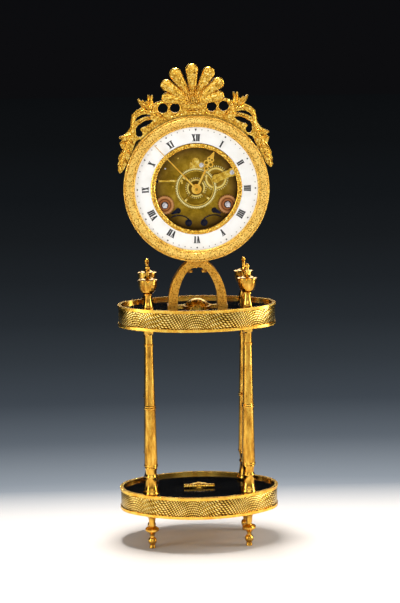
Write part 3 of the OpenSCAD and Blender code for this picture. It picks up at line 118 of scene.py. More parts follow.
def objectNoise(tree, size, detail=3.0, rough=0.5, stretch=(1, 1, 1)):
    # noise whose blotches are about "size" millimetres wide
    place = addNode(tree, "TexCoord").outputs["Object"]
    if stretch != (1, 1, 1):
        place = addNode(tree, "Mapping", {0: place}, Scale=stretch)
    return addNode(tree, "TexNoise", {"Vector": place}, Scale=1 / (size * mm), Detail=detail,
                   Roughness=rough).outputs["Fac"]


def pattern(tree, source):
    # a noise given by its numbers becomes a node; a node stays as it is
    return objectNoise(tree, *source) if isinstance(source, tuple) else source


def spread(tree, source, least, most):
    # a pattern from 0 to 1, moved to the range from least to most
    return addNode(tree, "MapRange", {0: pattern(tree, source)}, To_Min=least, To_Max=most)


def dent(tree, source, depth, strength, **links):
    # bump by a pattern, its depth in millimetres
    return addNode(tree, "Bump", {"Height": pattern(tree, source), **links}, Strength=strength,
                   Distance=depth * mm)


def coat(tree, colour, rough, relief, **shader):
    # the surface that the patterns feed
    surface = addNode(tree, "BsdfPrincipled", {"Base Color": colour, "Roughness": rough,
                                               "Normal": relief}, **shader)
    addNode(tree, "OutputMaterial", {0: surface})


def awayFrom(tree, centre):
    # distance from an axis that runs from front to back through "centre"
    place = addNode(tree, "TexCoord").outputs["Object"]
    flat = addNode(tree, "VectorMath", {0: place, 1: (1, 0, 1)}, operation="MULTIPLY")
    away = addNode(tree, "VectorMath", {0: flat, 1: (centre[0], 0, centre[1])},
                   operation="DISTANCE")
    return away.outputs["Value"]


def wheelPlace(node):
    # middle and radius of a wheel, in metres
    low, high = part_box(node)
    return ((low.x + high.x) / 2, (low.z + high.z) / 2), (high.x - low.x) / 2


# Finishes of one pattern each. A noise is (size in millimetres, detail, roughness, stretch).
# "tone" is the noise that the colours follow, "rough" is a noise with the least and the most
# roughness, and "relief" is a noise with its depth in millimetres and its strength.

plainFinishes = {
    # fire-gilt bronze, turned and burnished bright: warm yellow, a little redder where the
    # gold has worn thin, with faint turning lines
    "burnished": {"name": "burnishedGilt", "shader": {"Metallic": 1.0}, "tone": (7, 4),
                  "colours": [(0.28, "#D8942C"), (0.5, "#F2BC48"), (0.72, "#FBD468")],
                  "rough": [(3, 4, 0.6), 0.12, 0.3],
                  "relief": [(5, 5, 0.7, (1, 1, 14)), 0.03, 0.4]},
    # gilt of the columns, urns and feet, duller with age: the same bronze with a brown bloom
    # and fine turning lines along the shaft
    "aged": {"name": "agedGilt", "shader": {"Metallic": 1.0}, "tone": (3, 4, 0.6, (1, 1, 0.25)),
             "colours": [(0.28, "#8A5A1C"), (0.46, "#CC9636"), (0.62, "#E8B84E"),
                         (0.78, "#F6D274")],
             "rough": [(1.5, 4, 0.6), 0.1, 0.24],
             "relief": [(1.6, 4, 0.7, (1, 1, 0.3)), 0.02, 0.3]},
    # lacquered brass of the smaller movement parts, cut and polished
    "wheels": {"name": "wheelBrass", "shader": {"Metallic": 1.0}, "tone": (3, 4),
               "colours": [(0.3, "#A87C1A"), (0.5, "#DDB444"), (0.75, "#FFE88C")],
               "rough": [(0.8, 3, 0.6), 0.2, 0.36], "relief": [(0.8, 3, 0.6), 0.03, 0.5]},
    # hardened steel, polished, with fine hairlines
    "steel": {"name": "polishedSteel", "shader": {"Metallic": 1.0}, "tone": (4, 3),
              "colours": [(0.3, "#C4C1BC"), (0.6, "#ECEAE6")],
              "rough": [(1.5, 4, 0.7, (1, 1, 8)), 0.12, 0.3],
              "relief": [(1.5, 4, 0.7, (1, 1, 8)), 0.02, 0.5]},
    # spring steel, tempered until nearly black, going violet in places
    "blued": {"name": "bluedSteel", "shader": {"Metallic": 1.0}, "tone": (5, 2),
              "colours": [(0.35, "#10131F"), (0.55, "#1B2238"), (0.75, "#2C2636")],
              "rough": [(0.8, 3), 0.18, 0.34], "relief": [(0.8, 3), 0.02, 0.4]},
    # slate slab polished to black, with faint grey clouding and a waxed skin
    "slab": {"name": "blackSlab", "shader": {"Specular_IOR_Level": 0.3}, "tone": (18, 5, 0.6),
             "colours": [(0.4, "#030303"), (0.62, "#070707"), (0.8, "#0D0C0A")],
             "rough": [(12, 2), 0.06, 0.12], "relief": [(40, 1), 0.01, 0.2]},
    # white dial enamel on copper: glassy, a touch warm, with an orange-peel wave
    "enamel": {"name": "dialEnamel", "shader": {"Coat_Weight": 0.5, "Coat_Roughness": 0.05},
               "tone": (8, 3), "colours": [(0.3, "#F4F3EF"), (0.6, "#FAFAF8")],
               "rough": [(2, 2), 0.12, 0.22], "relief": [(5, 2), 0.08, 0.4]},
    # black painted enamel of the numerals, slightly raised and glossy
    "numerals": {"name": "numeralBlack", "shader": {}, "tone": (1.2, 3),
                 "colours": [(0.3, "#0B0B0D"), (0.7, "#1B1A1C")],
                 "rough": [(1.2, 3), 0.25, 0.4], "relief": [(1.2, 3), 0.02, 0.5]}}


def makePlainFinish(plan):
    made, tree = newTree(plan["name"])
    colour = addNode(tree, "ValToRGB", {0: objectNoise(tree, *plan["tone"])},
                     stops=plan["colours"])
    coat(tree, colour, spread(tree, *plan["rough"]), dent(tree, *plan["relief"]),
         **plan["shader"])
    return made


# Fire-gilt bronze left matte by the chaser's round punch: a close stipple of small dark
# pits about a millimetre apart, over a fine grain

stipplePlan = {"pitch": 1.15, "scatter": 0.8, "pit": (0.14, 0.5), "pitDepth": (0.16, 0.9),
               "blot": ((5, 3), 0.4, 0.8), "grain": (0.8, 3, 0.6), "rough": (0.36, 0.56),
               "grainDepth": (0.05, 0.6)}
bezelTones = [(0.02, "#301A04"), (0.24, "#A06E20"), (0.46, "#DCAA46"), (0.68, "#FBD878")]
archTones = [(0.02, "#3E2206"), (0.22, "#8C5614"), (0.45, "#BC8228"), (0.68, "#DCA848")]


def makeStippledGilt(plan, name, tones):
    made, tree = newTree(name)
    place = addNode(tree, "TexCoord").outputs["Object"]
    pits = addNode(tree, "TexVoronoi", {"Vector": place}, Scale=1 / (plan["pitch"] * mm),
                   Randomness=plan["scatter"])
    floor, crown = plan["pit"]
    pit = addNode(tree, "MapRange", {0: pits.outputs["Distance"]}, From_Min=floor,
                  From_Max=crown)
    tone = addNode(tree, "Math", {0: pit, 1: spread(tree, *plan["blot"])}, operation="MULTIPLY")
    colour = addNode(tree, "ValToRGB", {0: tone}, stops=tones)
    grain = objectNoise(tree, *plan["grain"])
    relief = dent(tree, grain, *plan["grainDepth"], Normal=dent(tree, pit, *plan["pitDepth"]))
    coat(tree, colour, spread(tree, grain, *plan["rough"]), relief, Metallic=1.0)
    return made


# Cast and chased gilt of the crest: soft hammered skin, brown tone in the hollows, and a painted
# shadow of the bezel along the crest's joint with it, which begins just under the bezel's edge

chasedPlan = {"joint": (-0.2, 1.6), "shade": 0.2, "clear": 1.0, "skin": (1.5, 4, 0.65),
              "tones": [(0.32, "#6E440E"), (0.44, "#C48E2C"), (0.56, "#F0C04A"),
                        (0.68, "#FFEC9C")],
              "rough": ((3, 3), 0.18, 0.34), "relief": (0.28, 0.85)}


def makeChasedGilt(plan):
    made, tree = newTree("chasedGilt")
    skin = objectNoise(tree, *plan["skin"])
    colour = addNode(tree, "ValToRGB", {0: skin}, stops=plan["tones"])
    away = awayFrom(tree, wheelPlace("bezel")[0])
    # painted shadow of the bezel: the crest darkens to the shade level just under the bezel's edge
    # and is at full brightness 1.6 mm outside it
    near, far = plan["joint"]
    joint = addNode(tree, "MapRange", {0: away}, From_Min=(bezelOuter + near) * mm,
                    From_Max=(bezelOuter + far) * mm, To_Min=plan["shade"])
    inside = addNode(tree, "Math", {0: away, 1: (bezelOuter - plan["clear"]) * mm},
                     operation="LESS_THAN")
    lit = addNode(tree, "Math", {0: joint, 1: inside}, operation="MAXIMUM")
    shaded = addNode(tree, "VectorMath", {0: colour, "Scale": lit}, operation="SCALE")
    coat(tree, shaded, spread(tree, *plan["rough"]), dent(tree, skin, *plan["relief"]),
         Metallic=1.0)
    return made


# Engine-turned gilt sheet: rows of cut barleycorns on waved lines, their crowns bright with a
# painted highlight and brown between with painted shade. The piece's own map holds millimetres
# along the band and up it. Real rows are about 1.3 mm apart; they are drawn 2.05 mm apart so
# that they show.

engineTurnedPlan = {"row": 2.05, "corn": 2.2, "wave": 6.5, "waveLength": 54.0, "slant": 0.5,
                    "sway": 0.4, "height": 0.36, "bloom": ((8, 3), 0.5),
                    "rough": ((3, 3), 0.22, 0.34), "relief": (0.3, 0.7),
                    "tones": [(0.3, "#341C04"), (0.52, "#94661A"), (0.72, "#F2C648"),
                              (0.94, "#FFF0A8")]}


def makeEngineTurned(plan):
    # height = 0.36 sqrt((cos row + 1) (cos corn + 1)); rows follow one waved line, and corns
    # a crossing one, which keeps both aslant
    made, tree = newTree("engineTurnedGilt")
    band = addNode(tree, "SeparateXYZ", {0: addNode(tree, "UVMap", uv_map="band")})
    along, up = band.outputs[0], band.outputs[1]
    turn = addNode(tree, "Math", {0: along, 1: 2 * pi / plan["waveLength"]},
                   operation="MULTIPLY")
    sine = addNode(tree, "Math", {0: turn}, operation="SINE")
    cosine = addNode(tree, "Math", {0: turn}, operation="COSINE")
    row = addNode(tree, "Math", {0: sine, 1: plan["wave"], 2: up}, operation="MULTIPLY_ADD")
    aslant = addNode(tree, "Math", {0: up, 1: plan["slant"], 2: along},
                     operation="MULTIPLY_ADD")
    corn = addNode(tree, "Math", {0: cosine, 1: plan["wave"] * plan["sway"], 2: aslant},
                   operation="MULTIPLY_ADD")
    crowns = []
    for place, pitch in ((row, plan["row"]), (corn, plan["corn"])):
        angle = addNode(tree, "Math", {0: place, 1: 2 * pi / pitch}, operation="MULTIPLY")
        ridge = addNode(tree, "Math", {0: angle}, operation="COSINE")
        crowns.append(addNode(tree, "Math", {0: ridge, 1: 1.0}, operation="ADD"))
    crossed = addNode(tree, "Math", dict(enumerate(crowns)), operation="MULTIPLY")
    root = addNode(tree, "Math", {0: crossed}, operation="SQRT")
    height = addNode(tree, "Math", {0: root, 1: plan["height"]}, operation="MULTIPLY")
    noise, share = plan["bloom"]
    tone = addNode(tree, "Math", {0: objectNoise(tree, *noise), 1: share, 2: height},
                   operation="MULTIPLY_ADD")
    # painted highlight and shade: the colour follows the barleycorns' height, bright on the crowns
    # and dark brown between
    colour = addNode(tree, "ValToRGB", {0: tone}, stops=plan["tones"])
    coat(tree, colour, spread(tree, *plan["rough"]), dent(tree, height, *plan["relief"]),
         Metallic=1.0)
    return made


# Clock brass, stoned flat and lacquered long ago: straight fine grain and brown blooms, with
# painted shade that darkens it in patches towards the rim, where the recessed dial shades it

platePlan = {"rim": (21.0, 37.0), "patches": (0.4, 1.5), "bloom": (9, 5, 0.65),
             "light": [(0.3, "#6A5012"), (0.5, "#94751C"), (0.72, "#BC9A34")],
             "dark": [(0.35, "#2A1612"), (0.7, "#573A22")],
             "grain": (1.2, 4, 0.7, (0.25, 1, 3)), "rough": (0.3, 0.5), "relief": (0.08, 0.8)}


def makeGrainedBrass(plan):
    made, tree = newTree("grainedBrass")
    bloom = objectNoise(tree, *plan["bloom"])
    light = addNode(tree, "ValToRGB", {0: bloom}, stops=plan["light"])
    dark = addNode(tree, "ValToRGB", {0: bloom}, stops=plan["dark"])
    # painted shade: darker tones towards the rim, broken into patches, for the shade of the dial's
    # recess
    near, far = plan["rim"]
    rim = addNode(tree, "MapRange", {0: awayFrom(tree, (0, dialZ * mm))}, From_Min=near * mm,
                  From_Max=far * mm)
    patches = spread(tree, bloom, *plan["patches"])
    share = addNode(tree, "Math", {0: rim, 1: patches}, operation="MULTIPLY", use_clamp=True)
    colour = addNode(tree, "MixRGB", {0: share, 1: light, 2: dark})
    grain = objectNoise(tree, *plan["grain"])
    coat(tree, colour, spread(tree, grain, *plan["rough"]), dent(tree, grain, *plan["relief"]),
         Metallic=1.0)
    return made


# Brass of the wheels behind the hands, cut and polished, warmer and duller on the web; painted
# highlight as bright bands at the teeth, painted shade as a dark line at their roots. Tones go
# from the axis to the rim.

toothedPlan = {"tones": [(0.0, "#B08A2C"), (0.3, "#80601A"), (0.66, "#A07A22"),
                         (0.76, "#FFE88C"), (0.84, "#E8C048"), (0.88, "#5E4010"),
                         (0.92, "#FFF0A4")],
               "stain": ((3, 4), 0.75, 1.15), "grain": (0.8, 3, 0.6), "rough": (0.2, 0.36),
               "relief": (0.03, 0.5)}


def makeToothedBrass(plan, name, node):
    made, tree = newTree(name)
    centre, radius = wheelPlace(node)
    share = addNode(tree, "MapRange", {0: awayFrom(tree, centre)}, From_Max=radius)
    # painted highlight in the bright bands at the rim and teeth, painted shade in the dark band at
    # the tooth roots
    ring = addNode(tree, "ValToRGB", {0: share}, stops=plan["tones"])
    colour = addNode(tree, "VectorMath", {0: ring, "Scale": spread(tree, *plan["stain"])},
                     operation="SCALE")
    grain = objectNoise(tree, *plan["grain"])
    coat(tree, colour, spread(tree, grain, *plan["rough"]), dent(tree, grain, *plan["relief"]),
         Metallic=1.0)
    return made


# Ratchets of a redder alloy on white steel winding squares, with painted shade as a dark band
# between teeth and ring and as a dark gap round the squares. Reaches are in millimetres from the
# axis.

ratchetPlan = {"squareReach": 2.3, "gapReach": 3.1, "gap": "#20140C",
               "square": [(0.35, "#B9B6BC"), (0.6, "#F4F2F4")],
               "tones": [(0.3, "#A8683A"), (0.5, "#B87444"), (0.57, "#54280F"),
                         (0.64, "#B0703C"), (0.8, "#E0A46C"), (0.95, "#9C5E30")],
               "tone": (1.6, 4, 0.6), "stain": (0.6, 1.2), "rough": (0.24, 0.44),
               "relief": ((0.6, 3), 0.04, 0.6)}


def makeRatchetBrass(plan, name, node):
    made, tree = newTree(name)
    centre, radius = wheelPlace(node)
    away = awayFrom(tree, centre)
    share = addNode(tree, "MapRange", {0: away}, From_Max=radius)
    # painted shade: the dark tone between the teeth and the ring
    ring = addNode(tree, "ValToRGB", {0: share}, stops=plan["tones"])
    tone = objectNoise(tree, *plan["tone"])
    brass = addNode(tree, "VectorMath", {0: ring, "Scale": spread(tree, tone, *plan["stain"])},
                    operation="SCALE")
    inGap, onSquare = [addNode(tree, "Math", {0: away, 1: plan[reach] * mm},
                               operation="LESS_THAN") for reach in ("gapReach", "squareReach")]
    # painted shade: near black in the gap round the square
    gapped = addNode(tree, "MixRGB", {0: inGap, 1: brass, 2: linear(plan["gap"])})
    steel = addNode(tree, "ValToRGB", {0: tone}, stops=plan["square"])
    colour = addNode(tree, "MixRGB", {0: onSquare, 1: gapped, 2: steel})
    coat(tree, colour, spread(tree, tone, *plan["rough"]), dent(tree, *plan["relief"]),
         Metallic=1.0)
    return made


# Screws of the movement: blued below, the one in the cock above the dial's centre left white

screwPlan = {"whiteAbove": 10.0, "tone": (2, 3), "blue": [(0.35, "#12141E"), (0.7, "#33303A")],
             "white": [(0.35, "#B4B2B0"), (0.7, "#F2F0EE")], "rough": (0.16, 0.3),
             "relief": ((0.6, 3), 0.02, 0.4)}


def makeScrewSteel(plan):
    made, tree = newTree("screwSteel")
    tone = objectNoise(tree, *plan["tone"])
    blue = addNode(tree, "ValToRGB", {0: tone}, stops=plan["blue"])
    white = addNode(tree, "ValToRGB", {0: tone}, stops=plan["white"])
    place = addNode(tree, "SeparateXYZ", {0: addNode(tree, "TexCoord").outputs["Object"]})
    high = addNode(tree, "Math", {0: place.outputs["Z"], 1: (dialZ + plan["whiteAbove"]) * mm},
                   operation="GREATER_THAN")
    colour = addNode(tree, "MixRGB", {0: high, 1: blue, 2: white})
    coat(tree, colour, spread(tree, tone, *plan["rough"]), dent(tree, *plan["relief"]),
         Metallic=1.0)
    return made


finishes = {finish: makePlainFinish(plan) for finish, plan in plainFinishes.items()}
finishes["bezel"] = makeStippledGilt(stipplePlan, "stippledGilt", bezelTones)
finishes["arch"] = makeStippledGilt(stipplePlan, "mattedGilt", archTones)
finishes["chased"] = makeChasedGilt(chasedPlan)
finishes["engineTurned"] = makeEngineTurned(engineTurnedPlan)
finishes["plates"] = makeGrainedBrass(platePlan)
finishes["going_winder"] = makeRatchetBrass(ratchetPlan, "goingRatchet", "going_winder")
finishes["strike_winder"] = makeRatchetBrass(ratchetPlan, "strikeRatchet", "strike_winder")
finishes["movement_screws"] = makeScrewSteel(screwPlan)
for toothed in ("center_wheel", "hour_wheel", "minute_wheel", "cannon_pinion"):
    finishes[toothed] = makeToothedBrass(toothedPlan, toothed + "Brass", toothed)
print("materials made")

# The CAD nodes that share a finish; the others have one of their own name
finishOf = {
    "arch": ["arch_screws"],
    "chased": ["base_mount", "platform_mount", "inner_ring", "crest_palmette",
               "crest_scroll_left", "crest_scroll_right"],
    "burnished": ["base_gallery", "platform_gallery", "drum", "minute_hand", "hour_hand", "bell",
                  "pendulum"],
    "aged": ["feet", "column_front_left", "column_front_right", "column_back_left",
             "column_back_right", "urn_front_left", "urn_front_right", "urn_back_left",
             "urn_back_right"],
    "slab": ["base_slab", "platform_slab"],
    "enamel": ["chapter_ring"],
    "plates": ["front_plate", "back_plate", "dial_plate", "suspension_cock"],
    "wheels": ["plate_pillars", "motion_bridge", "top_cock", "going_barrel", "strike_barrel",
               "second_wheel", "third_wheel", "escape_wheel", "strike_second_wheel",
               "count_wheel", "pin_wheel", "locking_wheel", "fly", "lifting_lever"],
    "steel": ["tie_rods", "bell_stand", "anchor", "hammer"],
    "blued": ["click_springs", "going_click", "strike_click"]}


def dressNodes():
    shared = {name: finish for finish, names in finishOf.items() for name in names}
    for name, node in cad.items():
        finish = finishes[shared.get(name, name)]
        if not node.material_slots:
            node.data.materials.append(finish)
        for place in node.material_slots:
            place.material = finish
    print("nodes dressed:", len(cad))


dressNodes()


# Mesh helpers

def meshPiece(name, points, faces, finish, body="stand", smooth=True):
    # points: n by 3 in metres; faces: m by 3 or 4, counter-clockwise from outside
    mesh = bpy.data.meshes.new(name)
    points, faces = np.asarray(points, np.float32), np.asarray(faces, np.int32)
    sides = faces.shape[1]
    mesh.vertices.add(len(points))
    mesh.vertices.foreach_set("co", points.ravel())
    mesh.loops.add(faces.size)
    mesh.loops.foreach_set("vertex_index", faces.ravel())
    mesh.polygons.add(len(faces))
    mesh.polygons.foreach_set("loop_start", np.arange(len(faces), dtype=np.int32) * sides)
    mesh.polygons.foreach_set("use_smooth", np.full(len(faces), smooth))
    mesh.update(calc_edges=True)
    mesh.validate()
    mesh.materials.append(finishes[finish])
    piece = bpy.data.objects.new(name, mesh)
    bpy.context.scene.collection.objects.link(piece)
    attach(piece, body)
    return piece


def gridFaces(rows, columns, closeRows=False, closeColumns=False):
    # quads of a grid of rows by columns points, either way closed on itself
    r = np.arange(rows if closeRows else rows - 1)
    c = np.arange(columns if closeColumns else columns - 1)
    r0, c0 = [a.ravel() for a in np.meshgrid(r, c, indexing="ij")]
    r1, c1 = (r0 + 1) % rows, (c0 + 1) % columns
    return np.stack([r0 * columns + c0, r0 * columns + c1, r1 * columns + c1, r1 * columns + c0],
                    axis=1)


def joinParts(parts):
    # several (points, quads) as one pair
    shifts = np.cumsum([0] + [len(p) for p, _ in parts[:-1]])
    return (np.concatenate([p for p, _ in parts]),
            np.concatenate([q + s for (_, q), s in zip(parts, shifts)]))


def endFan(count, start=0):
    # quads that close a ring of an even number of points
    i = np.arange(1, count - 2, 2)
    return np.stack([0 * i, i, i + 1, i + 2], -1) + start


def outward(points, quads):
    # the same quads, turned round where the closed mesh is inside out (negative volume)
    a, b, c, d = [points[quads[:, k]] for k in range(4)]
    volume = np.einsum("ij,ij->", a, np.cross(b, c)) + np.einsum("ij,ij->", a, np.cross(c, d))
    return quads if volume > 0 else quads[:, ::-1]


def beadPattern(rings=4, around=8, reach=0.45 * pi):
    # small ball of radius 1: rings of latitude up to "reach", a small flat closes each pole
    lat = np.linspace(-reach, reach, rings + 1)
    lon = np.arange(around) * 2 * pi / around
    a, b = np.meshgrid(lat, lon, indexing="ij")
    points = np.stack([np.cos(a) * np.cos(b), np.cos(a) * np.sin(b), np.sin(a)], -1).reshape(-1, 3)
    quads = np.concatenate([gridFaces(rings + 1, around, closeColumns=True),
                            endFan(around)[:, ::-1], endFan(around, rings * around)])
    return points, outward(points, quads)


def beadRow(centres, radius):
    # a ball of the given radius (metres) at each centre, as one mesh
    ball, quads = beadPattern()
    points = centres[:, None, :] + ball[None, :, :] * radius
    faces = quads[None, :, :] + (np.arange(len(centres)) * len(ball))[:, None, None]
    return points.reshape(-1, 3), faces.reshape(-1, 4)


# Oval tiers: engine-turned sheet round each band, and a milled bead along its edges

tierPlan = {"endShare": 0.66, "rimHeight": 2.4, "rimProud": 0.9, "sheetProud": 0.22,
            "sheetHalf": 0.1, "shoulder": 0.4, "around": 320, "beadRadius": 0.62,
            "beadPitch": 1.36, "beadSunk": 0.75, "beadStep": 0.8}


def ovalPath(halfLen, halfWid, endRadius, count):
    # four tangent arcs walked at even arc length: points, outward normals, length so far
    sideRadius = ((halfLen - endRadius) ** 2 + halfWid ** 2 - endRadius ** 2) \
        / (2 * (halfWid - endRadius))
    joinAngle = np.arctan2(sideRadius - halfWid, halfLen - endRadius)
    endLen, sideLen = 2 * joinAngle * endRadius, (pi - 2 * joinAngle) * sideRadius
    total = 2 * (endLen + sideLen)
    s = np.arange(count) * total / count
    t = (s + endLen / 2) % total
    half = t >= endLen + sideLen
    t = np.where(half, t - endLen - sideLen, t)
    onEnd = t < endLen
    angle = np.where(onEnd, t / endRadius - joinAngle, (t - endLen) / sideRadius + joinAngle)
    radius = np.where(onEnd, endRadius, sideRadius)
    centre = np.where(onEnd[:, None], [halfLen - endRadius, 0.0], [0.0, halfWid - sideRadius])
    normal = np.stack([np.cos(angle), np.sin(angle)], -1)
    point = centre + radius[:, None] * normal
    turn = np.where(half, -1.0, 1.0)[:, None]
    return point * turn, normal * turn, s, total


def tierOval(node, inset, count):
    # outline of a band from its box, moved inward; the ends' radius is a share of its half width
    low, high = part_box(node)
    halfLen, halfWid = high.x / mm, high.y / mm
    return ovalPath(halfLen - inset, halfWid - inset, tierPlan["endShare"] * halfWid - inset, count)


def makeBandSheet(name, node):
    # thin sheet between the band's rims: each outline point moved along its outward normal
    plan = tierPlan
    low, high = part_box(node)
    bottom, top = low.z / mm + plan["rimHeight"], high.z / mm - plan["rimHeight"]
    count, half, soft = plan["around"], plan["sheetHalf"], plan["shoulder"]
    path, normal, s, total = tierOval(node, plan["rimProud"] + half, count)
    # profile carried round the oval: up the outside with soft shoulders, down the inside
    rise = np.array([bottom, bottom + soft, (bottom + top) / 2, top - soft, top])
    out = np.array([0.0, 1.0, 1.0, 1.0, 0.0]) * plan["sheetProud"]
    outer = path[:, None, :] + normal[:, None, :] * (out[None, :, None] + half)
    inner = path[:, None, :] - normal[:, None, :] * half + 0 * out[None, :, None]
    ring = np.concatenate([outer, inner[:, ::-1]], axis=1)
    heights = np.concatenate([rise, rise[::-1]])
    points = np.concatenate([ring, np.broadcast_to(heights[None, :, None], ring.shape[:2] + (1,))],
                            axis=-1) * mm
    columns = ring.shape[1]
    quads = gridFaces(count, columns, closeRows=True, closeColumns=True)[:, ::-1]
    piece = meshPiece(name, points.reshape(-1, 3), quads, "engineTurned")
    # map in millimetres: along the band and up it, with the last span running on to the end
    along = np.repeat(s, columns)
    up = np.tile(heights - bottom, count)
    uv = piece.data.uv_layers.new(name="band")
    corner = np.stack([along[quads], up[quads]], -1)
    wraps = (along[quads].max(1) - along[quads].min(1)) > total / 2
    corner[..., 0] += np.where(wraps[:, None] & (along[quads] < total / 2), total, 0)
    uv.data.foreach_set("uv", corner.astype(np.float32).ravel())


def makeMilledEdges(name, node):
    # beads one pitch apart round the oval, along the band's lower and upper edge
    plan = tierPlan
    low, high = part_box(node)
    parts = []
    inset, step = plan["beadRadius"] * plan["beadSunk"], plan["beadRadius"] * plan["beadStep"]
    total = tierOval(node, inset, 8)[3]
    count = int(total / plan["beadPitch"])
    path = tierOval(node, inset, count)[0]
    for z in (low.z / mm + step, high.z / mm - step):
        centres = np.column_stack([path, np.full(count, z)]) * mm
        parts.append(beadRow(centres, plan["beadRadius"] * mm))
    points, quads = joinParts(parts)
    meshPiece(name, points, quads, "burnished")


for tier in ("base", "platform"):
    makeBandSheet(tier + "Sheet", tier + "_gallery")
    makeMilledEdges(tier + "Beads", tier + "_gallery")
print("tiers dressed")

# Dial: numerals, minute dots, marks for every five minutes

dialPlan = {"numeralLow": 40.0, "numeralHigh": 45.9, "dotRadius": 49.7, "dotSize": (0.42, 0.7),
            "thick": 1.45, "thin": 0.62, "serif": 0.34, "overThick": 0.7, "overCross": 0.6,
            "overThin": 0.9, "strokeInset": 0.95, "raise": 0.06, "sunk": 0.05,
            "wedge": (1.0, 0.8, -1.4), "wedgeTip": 0.02}
romanNumbers = ["XII", "I", "II", "III", "IIII", "V", "VI", "VII", "VIII", "IX", "X", "XI"]
letterWidths = {"I": 1.75, "V": 3.7, "X": 3.7}


def bar(x0, y0, x1, y1, width):
    # four corners of a slanted bar with level ends
    return [[x0 - width / 2, y0], [x0 + width / 2, y0], [x1 + width / 2, y1], [x1 - width / 2, y1]]


def letterBars(letter, x, height, plan):
    # strokes and serifs of one capital, its middle at x, standing on 0
    thick, thin, serif = plan["thick"], plan["thin"], plan["serif"]
    reach = letterWidths[letter] / 2 - plan["strokeInset"]
    wide, cross, fine = thick + plan["overThick"], thick + plan["overCross"], thin + plan["overThin"]
    top = height - serif

    def foot(at, y, width):
        return bar(at, y, at, y + serif, width)

    if letter == "I":
        return [bar(x, 0, x, height, thick), foot(x, 0, wide), foot(x, top, wide)]
    if letter == "V":
        return [bar(x, 0, x - reach, height, thick), bar(x, 0, x + reach, height, thin),
                foot(x - reach, top, wide), foot(x + reach, top, fine)]
    return [bar(x + reach, 0, x - reach, height, thick), bar(x - reach, 0, x + reach, height, thin),
            foot(x - reach, top, cross), foot(x + reach, top, fine),
            foot(x + reach, 0, cross), foot(x - reach, 0, fine)]


def turned(points, hour):
    # from upright at the top of the dial to the place of the hour, clockwise
    a = -hour * pi / 6
    x, y = points[..., 0], points[..., 1]
    return np.stack([x * cos(a) - y * sin(a), x * sin(a) + y * cos(a)], -1)


def prisms(outlines, back, front):
    # flat outlines of k points each, as thin plates between two depths of the head
    n, k, _ = outlines.shape
    u, v = outlines[..., 0], outlines[..., 1]
    points = np.concatenate([headPoints(u, v, back), headPoints(u, v, front)], axis=1)
    start = (np.arange(n) * 2 * k)[:, None]
    i = np.arange(k)
    sides = np.stack([i, (i + 1) % k, (i + 1) % k + k, i + k], -1)[None] + start[..., None]
    faces = [sides.reshape(-1, 4)]
    if k == 4:
        faces += [(np.array([4, 5, 6, 7])[None] + start), (np.array([3, 2, 1, 0])[None] + start)]
    else:
        fan = np.stack([0 * i[:-3:2], i[1:-2:2], i[2:-1:2], i[3::2]], -1)
        faces += [(fan[None] + k + start[..., None]).reshape(-1, 4),
                  (fan[None, :, ::-1] + start[..., None]).reshape(-1, 4)]
    return points.reshape(-1, 3), np.concatenate(faces)


def makeNumerals(plan):
    # each numeral is set upright at twelve, then turned to its hour
    height = plan["numeralHigh"] - plan["numeralLow"]
    outlines = []
    for hour, word in enumerate(romanNumbers):
        width = sum(letterWidths[c] for c in word)
        x = -width / 2
        for letter in word:
            x += letterWidths[letter] / 2
            for corners in letterBars(letter, x, height, plan):
                flat = np.array(corners) + [0, plan["numeralLow"]]
                # letters fan with the dial: narrower towards the centre
                flat[:, 0] *= flat[:, 1] / plan["numeralHigh"]
                outlines.append(turned(flat, hour))
            x += letterWidths[letter] / 2
    front = enamelFront + plan["raise"]
    points, quads = prisms(np.array(outlines), enamelFront - plan["sunk"], front)
    meshPiece("numerals", points, quads, "numerals", smooth=False)


def makeMinuteMarks(plan):
    # eight-sided dots, larger at every fifth minute, and at twelve a wedge that points inward
    corners = np.arange(8) * pi / 4
    ring = np.stack([np.cos(corners), np.sin(corners)], -1)
    small, large = plan["dotSize"]
    dots = np.array([turned(ring * (small if m % 5 else large) + [0, plan["dotRadius"]], m / 5)
                     for m in range(1, 60)])
    back, front = enamelFront - plan["sunk"], enamelFront + plan["raise"]
    half, outer, inner = plan["wedge"]
    r = plan["dotRadius"]
    wedge = np.array([[[-half, r + outer], [0, r + inner], [plan["wedgeTip"], r + inner],
                       [half, r + outer]]])
    parts = [prisms(dots, back, front), prisms(wedge, back, front)]
    points, quads = joinParts(parts)
    meshPiece("minuteMarks", points, quads, "numerals", smooth=False)


makeNumerals(dialPlan)
makeMinuteMarks(dialPlan)
print("dial painted")

# Bezel: rope-like rows of beads along both edges. A row is its distance from the bezel's edge,
# its depth below the front and the radius of its beads.

bezelPlan = {"rows": ((-0.8, 0.75, 0.36), (-8.55, 0.95, 0.34)), "pitch": 1.2}


def makeBezelBeads(plan):
    # beads one pitch apart on circles about the dial's centre
    parts = []
    for step, below, radius in plan["rows"]:
        r = bezelOuter + step
        count = int(2 * pi * r / plan["pitch"])
        a = np.arange(count) * 2 * pi / count
        centres = headPoints(r * np.cos(a), r * np.sin(a), bezelFront - below)
        parts.append(beadRow(centres, radius * mm))
    points, quads = joinParts(parts)
    meshPiece("bezelBeads", points, quads, "burnished")


makeBezelBeads(bezelPlan)

# Arch: one row of beads along the outer edge of its front face

archPlan = {"edge": 1.0, "bead": 0.5, "pitch": 1.45, "shoe": 0.9, "shoeTop": 5.0, "leg": 7.0,
            "rise": 36.3, "topShare": 0.68, "spring": 0.3, "seat": 0.6}


